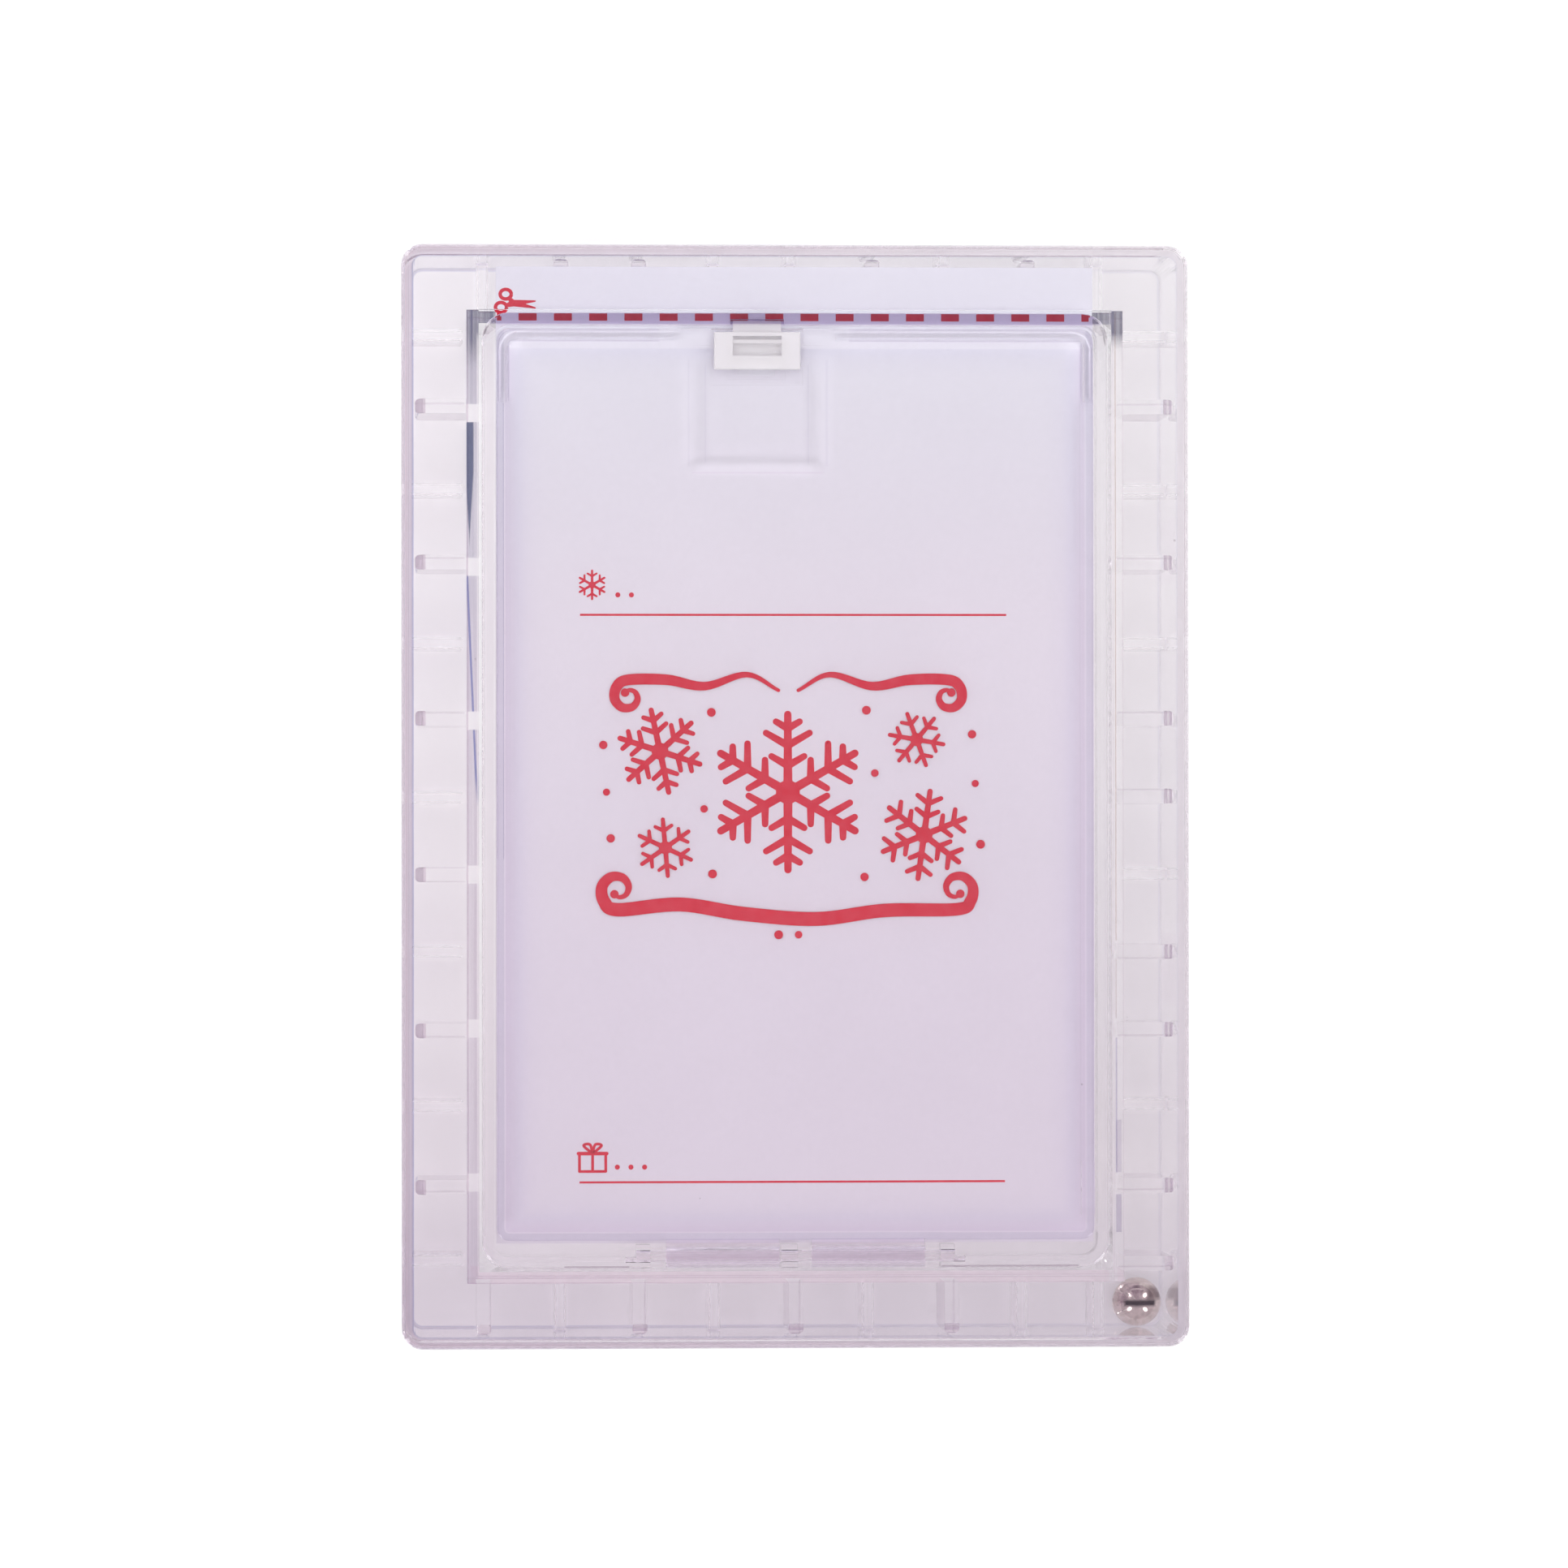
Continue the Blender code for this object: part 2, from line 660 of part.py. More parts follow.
def head_bead(name, inner_x, collection):
    """A round bead along the door's head edge that turns down its side.

    inner_x is where the bead ends beside the latch; its sign gives the side.
    """
    side = math.copysign(1, inner_x)
    line_x = DOOR_HALF_X - BEAD_INSET - BEAD_RADIUS
    line_y = DOOR_HEAD - BEAD_INSET - BEAD_RADIUS
    path = [(abs(inner_x), line_y)]
    for step in range(CORNER_STEPS + 1):
        angle = QUARTER_TURN * (1 - step / CORNER_STEPS)
        path.append(
            (
                line_x - BEAD_CORNER_RADIUS + BEAD_CORNER_RADIUS * math.cos(angle),
                line_y - BEAD_CORNER_RADIUS + BEAD_CORNER_RADIUS * math.sin(angle),
            )
        )
    path.append((line_x, DOOR_HEAD - HEAD_BEAD_DROP))
    curve = bpy.data.curves.new(name, "CURVE")
    curve.dimensions = "3D"
    curve.bevel_depth = BEAD_RADIUS
    curve.bevel_resolution = 1
    curve.use_fill_caps = True
    spline = curve.splines.new("POLY")
    spline.points.add(len(path) - 1)
    for point, (x, y) in zip(spline.points, path):
        point.co = (side * x, y, DOOR_TOP, 1)
    return curve_to_mesh(name, curve, collection)


def make_door(parts, tools, material):
    """Clear door with its beads, rims, thumb recess, latch bed and hinge barrels."""
    door = rounded_slab(
        "card_door",
        (-DOOR_HALF_X, DOOR_FOOT, DOOR_BOTTOM),
        (DOOR_HALF_X, DOOR_HEAD, DOOR_TOP),
        DOOR_CORNER_RADIUS,
        parts,
    )
    soften(door, DOOR_EDGE_RADIUS, SOFT_EDGE_STEPS)
    rim_head = DOOR_HEAD - HEAD_BEAD_DROP + BITE
    pad_foot = DOOR_FOOT + RIM_PAD_FROM_FOOT
    pad_head = pad_foot + RIM_PAD_LENGTH
    fuse(door, side_strips("side_rims", pad_head - BITE, rim_head, RIM_RISE, tools))
    fuse(door, side_strips("rim_pads", pad_foot, pad_head, RIM_PAD_RISE, tools))
    bead_gap = (RECESS_WIDTH + RECESS_SIDE_SLOPE) / 2
    fuse(door, head_bead("left_bead", LATCH_OFFSET - bead_gap, tools))
    fuse(door, head_bead("right_bead", LATCH_OFFSET + bead_gap, tools))
    cut(door, thumb_recess(tools))
    add_barrels(door, tools)
    cut_latch_room(door, tools)
    # The door turns about its hinge line, so its origin lies there.
    hinge_line = Vector((0, HINGE_Y, HINGE_Z))
    door.data.transform(Matrix.Translation(-hinge_line))
    door.location = hinge_line
    door.data.materials.append(material)
    return door


def side_strips(name, low_y, high_y, rise, tools):
    """A raised strip along each side edge of the door's face."""
    shape = bmesh.new()
    for side in (-1, 1):
        left, right = sorted((side * DOOR_HALF_X, side * (DOOR_HALF_X - RIM_WIDTH)))
        add_box(shape, (left, low_y, DOOR_TOP - BITE), (right, high_y, DOOR_TOP + rise))
    strips = mesh_object(name, shape, tools)
    soften(strips, DOOR_EDGE_RADIUS, SOFT_EDGE_STEPS)
    return strips


def thumb_recess(tools):
    """Shallow dish with sloping sides below the latch, as a cutter."""
    shape = bmesh.new()
    head = DOOR_HEAD - RECESS_HEAD_INSET
    foot = head - RECESS_LENGTH
    half = RECESS_WIDTH / 2
    floor = DOOR_TOP - RECESS_DEPTH
    corners = add_box(
        shape,
        (LATCH_OFFSET - half, foot, floor),
        (LATCH_OFFSET + half, head, DOOR_TOP + RECESS_DEPTH),
    )
    # Above the door's face the dish keeps its slope, so its mouth has the full size.
    for corner in corners:
        side = math.copysign(1, corner.co.x - LATCH_OFFSET)
        spread = -1 if corner.co.z < DOOR_TOP else 1
        corner.co.x += side * spread * RECESS_SIDE_SLOPE
        if corner.co.y < (head + foot) / 2:
            corner.co.y -= spread * RECESS_FOOT_SLOPE
    return mesh_object("thumb_recess", shape, tools)


def add_barrels(door, tools):
    """Two hinge barrels on webs at the door's foot, bored for the pin."""
    left_start, left_end, right_start, right_end = barrel_ends()
    for name, start, end in (("left", left_start, left_end), ("right", right_start, right_end)):
        web = box_object(
            name + "_web",
            (start, HINGE_Y, DOOR_BOTTOM),
            (end, DOOR_FOOT + BITE, DOOR_TOP),
            tools,
        )
        fuse(door, web)
        barrel = bmesh.new()
        add_rod(barrel, HINGE_RADIUS, start, end, HINGE_Y, HINGE_Z)
        fuse(door, mesh_object(name + "_barrel", barrel, tools))
    bore = bmesh.new()
    add_rod(
        bore,
        PIN_RADIUS + PIN_CLEARANCE,
        left_start - OVERRUN,
        right_end + OVERRUN,
        HINGE_Y,
        HINGE_Z,
    )
    cut(door, mesh_object("barrel_bore", bore, tools))


def cut_latch_room(door, tools):
    """The bed that the latch slides on, its stem slot and the pocket of its flange."""
    bed_half = LATCH_WIDTH / 2 + LATCH_SIDE_GAP
    bed = box_object(
        "latch_bed",
        (LATCH_OFFSET - bed_half, LATCH_FOOT - LATCH_THROW - LATCH_SIDE_GAP, LATCH_BED),
        (LATCH_OFFSET + bed_half, DOOR_HEAD + OVERRUN, CASE_DEPTH + OVERRUN),
        tools,
    )
    cut(door, bed)
    middle = LATCH_FOOT + LATCH_LENGTH / 2
    for name, width, length, low, high in (
        ("stem_slot", STEM_WIDTH, STEM_LENGTH, DOOR_BOTTOM - OVERRUN, LATCH_BED + BITE),
        (
            "flange_pocket",
            FLANGE_WIDTH,
            FLANGE_LENGTH,
            DOOR_BOTTOM - OVERRUN,
            DOOR_BOTTOM + FLANGE_POCKET_DEPTH,
        ),
    ):
        side = width / 2 + LATCH_CLEARANCE
        room = box_object(
            name,
            (
                LATCH_OFFSET - side,
                middle - length / 2 - LATCH_THROW - LATCH_CLEARANCE,
                low,
            ),
            (LATCH_OFFSET + side, middle + length / 2 + LATCH_CLEARANCE, high),
            tools,
        )
        cut(door, room)


def make_latch(parts, tools, material, door):
    """Sliding latch with a finger window, a bolt and a flanged stem."""
    half = LATCH_WIDTH / 2
    latch = box_object(
        "latch",
        (LATCH_OFFSET - half, LATCH_FOOT, LATCH_BOTTOM),
        (LATCH_OFFSET + half, LATCH_HEAD, CASE_DEPTH),
        parts,
    )
    soften(latch, LATCH_EDGE_RADIUS, SOFT_EDGE_STEPS)
    window = box_object(
        "finger_window",
        (
            LATCH_OFFSET - WINDOW_WIDTH / 2,
            WINDOW_HEAD - WINDOW_LENGTH,
            CASE_DEPTH - WINDOW_DEPTH,
        ),
        (LATCH_OFFSET + WINDOW_WIDTH / 2, WINDOW_HEAD, CASE_DEPTH + OVERRUN),
        tools,
    )
    cut(latch, window)
    bar_head = WINDOW_HEAD - FINGER_BAR_INSET
    bar = box_object(
        "finger_bar",
        (
            LATCH_OFFSET - WINDOW_WIDTH / 2 - BITE,
            bar_head - FINGER_BAR_THICKNESS,
            CASE_DEPTH - WINDOW_DEPTH - BITE / 2,
        ),
        (LATCH_OFFSET + WINDOW_WIDTH / 2 + BITE, bar_head, CASE_DEPTH - FINGER_BAR_DROP),
        tools,
    )
    fuse(latch, bar)
    bolt = box_object(
        "bolt",
        (LATCH_OFFSET - BOLT_WIDTH / 2, LATCH_HEAD - BITE, LATCH_BOTTOM),
        (
            LATCH_OFFSET + BOLT_WIDTH / 2,
            TRAY_BORE_HEAD + BOLT_LAP,
            LATCH_BOTTOM + BOLT_THICKNESS,
        ),
        tools,
    )
    fuse(latch, bolt)
    middle = LATCH_FOOT + LATCH_LENGTH / 2
    for name, width, length, low, high in (
        ("stem", STEM_WIDTH, STEM_LENGTH, DOOR_BOTTOM, LATCH_BOTTOM + BITE / 2),
        ("flange", FLANGE_WIDTH, FLANGE_LENGTH, DOOR_BOTTOM, DOOR_BOTTOM + FLANGE_THICKNESS),
    ):
        piece = box_object(
            name,
            (LATCH_OFFSET - width / 2, middle - length / 2, low),
            (LATCH_OFFSET + width / 2, middle + length / 2, high),
            tools,
        )
        fuse(latch, piece)
    latch.parent = door
    latch.matrix_parent_inverse = Matrix.Translation(-door.location)
    latch.data.materials.append(material)


def make_gift_tag(parts, material):
    """Card tag on the ledge, with its strip under the front cover at the head."""
    half = TRAY_BORE_X - TAG_SIDE_GAP
    tag = box_object(
        "gift_tag",
        (-half, POCKET_FOOT - TAG_FOOT_LAP, TAG_BOTTOM),
        (half, MAZE_HALF_Y + TAG_REACH, TAG_BOTTOM + TAG_THICKNESS),
        parts,
    )
    tag.data.materials.append(material)


def make_ball(parts, material):
    """Steel ball on the back cover in the corner of the maze beside the hinge."""
    shape = bmesh.new()
    bmesh.ops.create_uvsphere(
        shape, u_segments=ROUND_SIDES, v_segments=BALL_RINGS, radius=BALL_RADIUS
    )
    ball = mesh_object("maze_ball", shape, parts)
    ball.location = (
        CHANNEL_HALF_X - CHANNEL_WIDTH / 2,
        -(CHANNEL_HALF_Y - BALL_CLEARANCE - BALL_RADIUS),
        COVER_THICKNESS + BALL_CLEARANCE + BALL_RADIUS,
    )
    ball.data.shade_smooth()
    ball.data.materials.append(material)


def main():
    clear_scene()
    parts = new_collection("gift_card_maze_puzzle")
    tools = new_collection("cutters")
    clear = plastic("clear_plastic", (0.93, 0.91, 0.95), 0.05)
    door_clear = plastic("door_plastic", (0.95, 0.93, 0.96), 0.06)
    tray_clear = plastic("tray_plastic", (0.94, 0.92, 0.95), 0.08)
    pin_clear = plastic("pin_plastic", (0.92, 0.90, 0.94), 0.05)
    milky = plastic("latch_plastic", (0.96, 0.95, 0.95), 0.3)
    steel = opaque("polished_steel", (0.62, 0.61, 0.60), 0.12, 1)
    paper = opaque("tag_card", (0.86, 0.84, 0.90), 0.7, 0)
    make_outer_case(parts, tools, clear)
    make_maze_frame(parts, tools, clear)
    make_card_tray(parts, tools, tray_clear)
    make_hinge_pin(parts, pin_clear)
    door = make_door(parts, tools, door_clear)
    make_latch(parts, tools, milky, door)
    make_gift_tag(parts, paper)
    make_ball(parts, steel)


main()
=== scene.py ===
import bpy
import numpy as np
from mathutils import Matrix, Vector


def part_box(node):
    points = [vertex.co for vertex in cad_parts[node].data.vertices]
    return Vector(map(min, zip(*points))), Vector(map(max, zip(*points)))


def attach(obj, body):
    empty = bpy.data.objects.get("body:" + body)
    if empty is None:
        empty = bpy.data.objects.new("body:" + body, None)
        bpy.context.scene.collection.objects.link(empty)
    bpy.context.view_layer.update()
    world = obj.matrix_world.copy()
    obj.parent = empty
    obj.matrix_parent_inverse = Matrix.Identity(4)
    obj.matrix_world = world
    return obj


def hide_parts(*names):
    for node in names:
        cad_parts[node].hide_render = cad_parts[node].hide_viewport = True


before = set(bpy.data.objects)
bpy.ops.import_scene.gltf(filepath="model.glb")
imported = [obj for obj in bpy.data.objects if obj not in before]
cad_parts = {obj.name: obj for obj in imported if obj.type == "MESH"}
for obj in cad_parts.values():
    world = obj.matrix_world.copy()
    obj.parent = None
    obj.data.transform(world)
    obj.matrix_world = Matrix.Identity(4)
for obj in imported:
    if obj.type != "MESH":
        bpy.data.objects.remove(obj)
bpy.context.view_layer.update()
mm = 0.001
print("frame loaded")


# Camera, floor and light

cameraSetup = {
    "place": (-36.0, -7.3, 750.0),   # mm; a little left of and below the middle
    "aim": (-1.15, 1.15, 20.0),      # mm; the point of the front face at the image's middle
    "roll": -0.0012,                 # radians
    "sensor": 36.0,
    "lens": 176.4,
    "clip": (10.0, 100000.0),        # mm
}


def placeCamera(setup):
    data = bpy.data.cameras.new("camera")
    data.sensor_width = setup["sensor"]
    data.lens = setup["lens"]
    data.clip_start = setup["clip"][0] * mm
    data.clip_end = setup["clip"][1] * mm
    camera = bpy.data.objects.new("camera", data)
    bpy.context.scene.collection.objects.link(camera)
    place = Vector(setup["place"]) * mm
    look = Vector(setup["aim"]) * mm - place
    # +Y is up in the picture, so the camera is turned about its own axis from that
    forward = look.normalized()
    right = forward.cross(Vector((0, 1, 0))).normalized()
    up = right.cross(forward)
    turn = Matrix((right, up, -forward)).transposed().to_4x4()
    camera.matrix_world = Matrix.Translation(place) @ turn @ Matrix.Rotation(setup["roll"], 4, "Z")
    bpy.context.scene.camera = camera
    return camera


placeCamera(cameraSetup)
bpy.context.scene.view_settings.view_transform = "Standard"
# light from matt surfaces passes clear plastic unblurred, and long paths inside it go on
bpy.context.scene.cycles.blur_glossy = 0.0
bpy.context.scene.cycles.max_bounces = 128
bpy.context.scene.cycles.diffuse_bounces = 3
bpy.context.scene.cycles.glossy_bounces = 96
bpy.context.scene.cycles.transmission_bounces = 96


def nodeTree(name):
    material = bpy.data.materials.new(name)
    material.use_nodes = True
    tree = material.node_tree
    tree.nodes.clear()
    return material, tree


def addNode(tree, kind, **settings):
    node = tree.nodes.new(kind)
    for key, value in settings.items():
        setattr(node, key, value)
    return node


def setInputs(node, values):
    for key, value in values.items():
        node.inputs[key].default_value = value


def joinAll(tree, joins):
    for source, output, target, entry in joins:
        tree.links.new(source.outputs[output], target.inputs[entry])


def colourRamp(tree, stops):
    node = addNode(tree, "ShaderNodeValToRGB")
    elements = node.color_ramp.elements
    while len(elements) < len(stops):
        elements.new(0.5)
    for element, (place, colour) in zip(elements, stops):
        element.position = place
        element.color = tuple(colour) + (1,)
    return node


def colourMix(tree, first=(), second=(), **settings):
    # a colour Mix node, with tints where nothing will be joined
    node = addNode(tree, "ShaderNodeMix", data_type="RGBA", **settings)
    for entry, tint in ((6, first), (7, second)):
        if tint:
            node.inputs[entry].default_value = tint + (1,)
    return node


def vectorMath(tree, operation):
    return addNode(tree, "ShaderNodeVectorMath", operation=operation)


def mathNode(tree, operation, *values):
    # one Math node; each value is a number or a (node, output) pair
    node = addNode(tree, "ShaderNodeMath", operation=operation)
    for entry, value in enumerate(values):
        if isinstance(value, tuple):
            joinAll(tree, ((value[0], value[1], node, entry),))
        else:
            node.inputs[entry].default_value = value
    return node, 0


def fade(tree, value, low, high, first, last, curve="LINEAR"):
    # a (node, output) pair mapped from low..high to first..last
    node = addNode(tree, "ShaderNodeMapRange", interpolation_type=curve)
    setInputs(node, {1: low, 2: high, 3: first, 4: last})
    joinAll(tree, ((value[0], value[1], node, 0),))
    return node, 0


floorSetup = {
    "size": 12.0,                    # m
    "level": -0.02,                  # mm; just below the box
    "glow": 0.50,                    # the white that is seen, on top of the lit part
    "lit": 0.50,
    "pale": 0.90,                    # what light from matt surfaces meets
    "reach": (-60.0, 60.0),          # mm along Y over which the light under the box changes
    "fall": (
        (0.00, (0.765, 0.725, 0.775)),
        (0.10, (0.795, 0.765, 0.805)),
        (0.20, (0.905, 0.885, 0.900)),
        (0.50, (1.00, 1.005, 1.00)),
        (0.90, (1.07, 1.09, 1.08)),
    ),
    "sideways": 0.10,                # how much dimmer the right edge is than the left
    "width": (-40.0, 40.0),          # mm along X over which it dims
}


def makeFloor(setup):
    # one square sheet: its corners are (+-half, +-half, 0)
    half = setup["size"] / 2
    corners = np.array([[-1, -1, 0], [1, -1, 0], [1, 1, 0], [-1, 1, 0]]) * half
    mesh = bpy.data.meshes.new("floor")
    mesh.from_pydata(corners.tolist(), [], [(0, 1, 2, 3)])
    floor = bpy.data.objects.new("floor", mesh)
    floor.location.z = setup["level"] * mm
    bpy.context.scene.collection.objects.link(floor)
    material, tree = nodeTree("paleFloor")
    path = addNode(tree, "ShaderNodeLightPath")
    where = addNode(tree, "ShaderNodeTexCoord")
    split = addNode(tree, "ShaderNodeSeparateXYZ")
    along = addNode(tree, "ShaderNodeMapRange")
    foot, head = (place * mm for place in setup["reach"])
    setInputs(along, {1: foot, 2: head})
    fall = colourRamp(tree, setup["fall"])
    across = addNode(tree, "ShaderNodeMapRange")
    left, right = (place * mm for place in setup["width"])
    setInputs(across, {1: left, 2: right, 3: 1.0, 4: 1.0 - setup["sideways"]})
    tone = vectorMath(tree, "SCALE")
    under = colourMix(tree, (1, 1, 1))
    plain = addNode(tree, "ShaderNodeBsdfDiffuse")
    setInputs(plain, {"Color": (setup["pale"],) * 3 + (1,)})
    shade = addNode(tree, "ShaderNodeBsdfDiffuse")
    glow = addNode(tree, "ShaderNodeEmission")
    setInputs(glow, {"Strength": setup["glow"]})
    dim = vectorMath(tree, "SCALE")
    dim.inputs["Scale"].default_value = setup["lit"]
    both = addNode(tree, "ShaderNodeAddShader")
    choose = addNode(tree, "ShaderNodeMixShader")
    direct = addNode(tree, "ShaderNodeMath", operation="MAXIMUM")
    seen = addNode(tree, "ShaderNodeMath", operation="MAXIMUM")
    out = addNode(tree, "ShaderNodeOutputMaterial")
    joinAll(tree, (
        (where, "Object", split, 0),
        (split, "Y", along, 0),
        (along, 0, fall, 0),
        (split, "X", across, 0),
        (fall, 0, tone, 0),
        (across, 0, tone, "Scale"),
        (path, "Is Transmission Ray", under, 0),
        (tone, 0, under, 7),
        (under, 2, glow, "Color"),
        (under, 2, dim, 0),
        (dim, 0, shade, "Color"),
        (shade, 0, both, 0),
        (glow, 0, both, 1),
        (path, "Is Camera Ray", direct, 0),
        (path, "Is Glossy Ray", direct, 1),
        (direct, 0, seen, 0),
        (path, "Is Transmission Ray", seen, 1),
        (seen, 0, choose, 0),
        (plain, 0, choose, 1),
        (both, 0, choose, 2),
        (choose, 0, out, "Surface"),
    ))
    mesh.materials.append(material)
    return floor


makeFloor(floorSetup)


worldSetup = {
    "skyBase": 0.45,       # light on matt surfaces from all round
    "skyTop": 2.9,         # and more of it from overhead
    "skyEdge": (0.78, 0.93),
    "room": (0.68, 0.62, 0.67),
    "roomTop": (0.54, 0.48, 0.54),
    "roomEdge": (0.80, 0.97),
    "lampLevel": 6.0,
    "lamps": ((0.56, 0.50), (-0.56, 0.52), (0.56, -0.52), (-0.58, -0.50)),
    "lampSize": (0.09, 0.16),
}


def makeWorld(setup):
    # matt surfaces get a smooth sky; clear and polished ones meet a dim room with four lamps
    world = bpy.data.worlds.new("studio")
    world.use_nodes = True
    tree = world.node_tree
    tree.nodes.clear()
    where = addNode(tree, "ShaderNodeTexCoord")
    split = addNode(tree, "ShaderNodeSeparateXYZ")
    joinAll(tree, ((where, "Generated", split, 0),))
    cone = addNode(tree, "ShaderNodeMapRange", interpolation_type="SMOOTHSTEP")
    setInputs(cone, {1: setup["skyEdge"][0], 2: setup["skyEdge"][1], 3: setup["skyBase"]})
    cone.inputs[4].default_value = setup["skyBase"] + setup["skyTop"]
    joinAll(tree, ((split, "Z", cone, 0),))
    sky = addNode(tree, "ShaderNodeBackground")
    joinAll(tree, ((cone, 0, sky, "Strength"),))

    total = None
    for x, y in setup["lamps"]:
        # distance of the direction's x and y from the lamp's middle
        offset = addNode(tree, "ShaderNodeCombineXYZ")
        joinAll(tree, ((split, "X", offset, 0), (split, "Y", offset, 1)))
        far = vectorMath(tree, "DISTANCE")
        far.inputs[1].default_value = (x, y, 0)
        patch = addNode(tree, "ShaderNodeMapRange", interpolation_type="SMOOTHSTEP")
        setInputs(patch, {1: setup["lampSize"][1], 2: setup["lampSize"][0], 3: 0.0, 4: 1.0})
        joinAll(tree, ((offset, 0, far, 0), (far, "Value", patch, 0)))
        if total is None:
            total = patch
        else:
            more = addNode(tree, "ShaderNodeMath", operation="ADD")
            joinAll(tree, ((total, 0, more, 0), (patch, 0, more, 1)))
            total = more
    above = addNode(tree, "ShaderNodeMath", operation="GREATER_THAN")
    above.inputs[1].default_value = 0.0
    lampMask = addNode(tree, "ShaderNodeMath", operation="MULTIPLY")
    joinAll(tree, ((split, "Z", above, 0), (total, 0, lampMask, 0), (above, 0, lampMask, 1)))
    zenith = addNode(tree, "ShaderNodeMapRange", interpolation_type="SMOOTHSTEP")
    setInputs(zenith, {1: setup["roomEdge"][0], 2: setup["roomEdge"][1], 3: 0.0, 4: 1.0})
    dim = colourMix(tree, setup["room"], setup["roomTop"])
    lit = colourMix(tree, (), (setup["lampLevel"],) * 3, clamp_result=False)
    room = addNode(tree, "ShaderNodeBackground")
    joinAll(tree, (
        (split, "Z", zenith, 0),
        (zenith, 0, dim, 0),
        (dim, 2, lit, 6),
        (lampMask, 0, lit, 0),
        (lit, 2, room, "Color"),
    ))

    path = addNode(tree, "ShaderNodeLightPath")
    matt = addNode(tree, "ShaderNodeMath", operation="GREATER_THAN")
    matt.inputs[1].default_value = 0.5
    white = addNode(tree, "ShaderNodeBackground")
    setInputs(white, {"Color": (1, 1, 1, 1), "Strength": 1.0})
    seen = addNode(tree, "ShaderNodeMixShader")
    choose = addNode(tree, "ShaderNodeMixShader")
    out = addNode(tree, "ShaderNodeOutputWorld")
    joinAll(tree, (
        (path, "Diffuse Depth", matt, 0),
        (matt, 0, choose, 0),
        (room, 0, choose, 1),
        (sky, 0, choose, 2),
        (path, "Is Camera Ray", seen, 0),
        (choose, 0, seen, 1),
        (white, 0, seen, 2),
        (seen, 0, out, "Surface"),
    ))
    bpy.context.scene.world = world


makeWorld(worldSetup)
print("stage ready")


# Shared effects as node groups

def newGroup(name, entries, exits):
    group = bpy.data.node_groups.new(name, "ShaderNodeTree")
    for label, kind in entries:
        group.interface.new_socket(label, in_out="INPUT", socket_type=kind)
    for label, kind in exits:
        group.interface.new_socket(label, in_out="OUTPUT", socket_type=kind)
    start = group.nodes.new("NodeGroupInput")
    end = group.nodes.new("NodeGroupOutput")
    return group, start, end


def stretched(tree, scale):
    # Object coordinates in metres, times a scale for each axis
    where = addNode(tree, "ShaderNodeTexCoord")
    scaled = vectorMath(tree, "MULTIPLY")
    scaled.inputs[1].default_value = scale
    joinAll(tree, ((where, "Object", scaled, 0),))
    return scaled


def noise(tree, scale, detail, low, high, first, last):
    place = stretched(tree, scale)
    cloud = addNode(tree, "ShaderNodeTexNoise")
    setInputs(cloud, {"Scale": 1.0, "Detail": detail})
    spread = addNode(tree, "ShaderNodeMapRange")
    setInputs(spread, {1: low, 2: high, 3: first, 4: last})
    joinAll(tree, ((place, 0, cloud, "Vector"), (cloud, 0, spread, 0)))
    return spread


marksSetup = {
    "cloud": (45, 45, 45),          # per metre
    "cloudSpread": (0.35, 0.65),    # the noise values that count as none and as full
    "flow": (520, 70, 520),
    "speck": 330,
    "speckSize": 0.035,
    "speckShare": 0.94,
    "speckTint": (0.62, 0.58, 0.60),
    "roughSpread": (0.3, 0.7),
    "roughness": (0.006, 0.035),
    "bumpDepth": 0.012,             # mm
}


def mouldedMarks(setup):
    # cloud mixes two tints, flow waves bend the surface, a few specks darken it
    group, start, end = newGroup(
        "mouldedMarks",
        (("Tint", "NodeSocketColor"), ("Haze", "NodeSocketColor"), ("Waves", "NodeSocketFloat")),
        (("Color", "NodeSocketColor"), ("Roughness", "NodeSocketFloat"), ("Normal", "NodeSocketVector")),
    )
    cloud = noise(group, setup["cloud"], 3, *setup["cloudSpread"], 0.0, 1.0)
    tone = colourMix(group)
    place = stretched(group, (setup["speck"],) * 3)
    cell = addNode(group, "ShaderNodeTexVoronoi")
    setInputs(cell, {"Scale": 1.0})
    near = addNode(group, "ShaderNodeMath", operation="LESS_THAN")
    near.inputs[1].default_value = setup["speckSize"]
    pick = addNode(group, "ShaderNodeSeparateColor")
    some = addNode(group, "ShaderNodeMath", operation="GREATER_THAN")
    some.inputs[1].default_value = setup["speckShare"]
    speck = addNode(group, "ShaderNodeMath", operation="MULTIPLY")
    darker = colourMix(group, (), setup["speckTint"], blend_type="MULTIPLY")
    rough = noise(group, setup["cloud"], 2, *setup["roughSpread"], *setup["roughness"])
    flow = noise(group, setup["flow"], 2, 0.0, 1.0, 0.0, 1.0)
    bump = addNode(group, "ShaderNodeBump")
    setInputs(bump, {"Distance": setup["bumpDepth"] * mm})
    joinAll(group, (
        (cloud, 0, tone, 0),
        (start, "Tint", tone, 6),
        (start, "Haze", tone, 7),
        (place, 0, cell, "Vector"),
        (cell, "Distance", near, 0),
        (cell, "Color", pick, 0),
        (pick, 0, some, 0),
        (near, 0, speck, 0),
        (some, 0, speck, 1),
        (speck, 0, darker, 0),
        (tone, 2, darker, 6),
        (darker, 2, end, "Color"),
        (rough, 0, end, "Roughness"),
        (start, "Waves", bump, "Strength"),
        (flow, 0, bump, "Height"),
        (bump, 0, end, "Normal"),
    ))
    return group


marksGroup = mouldedMarks(marksSetup)


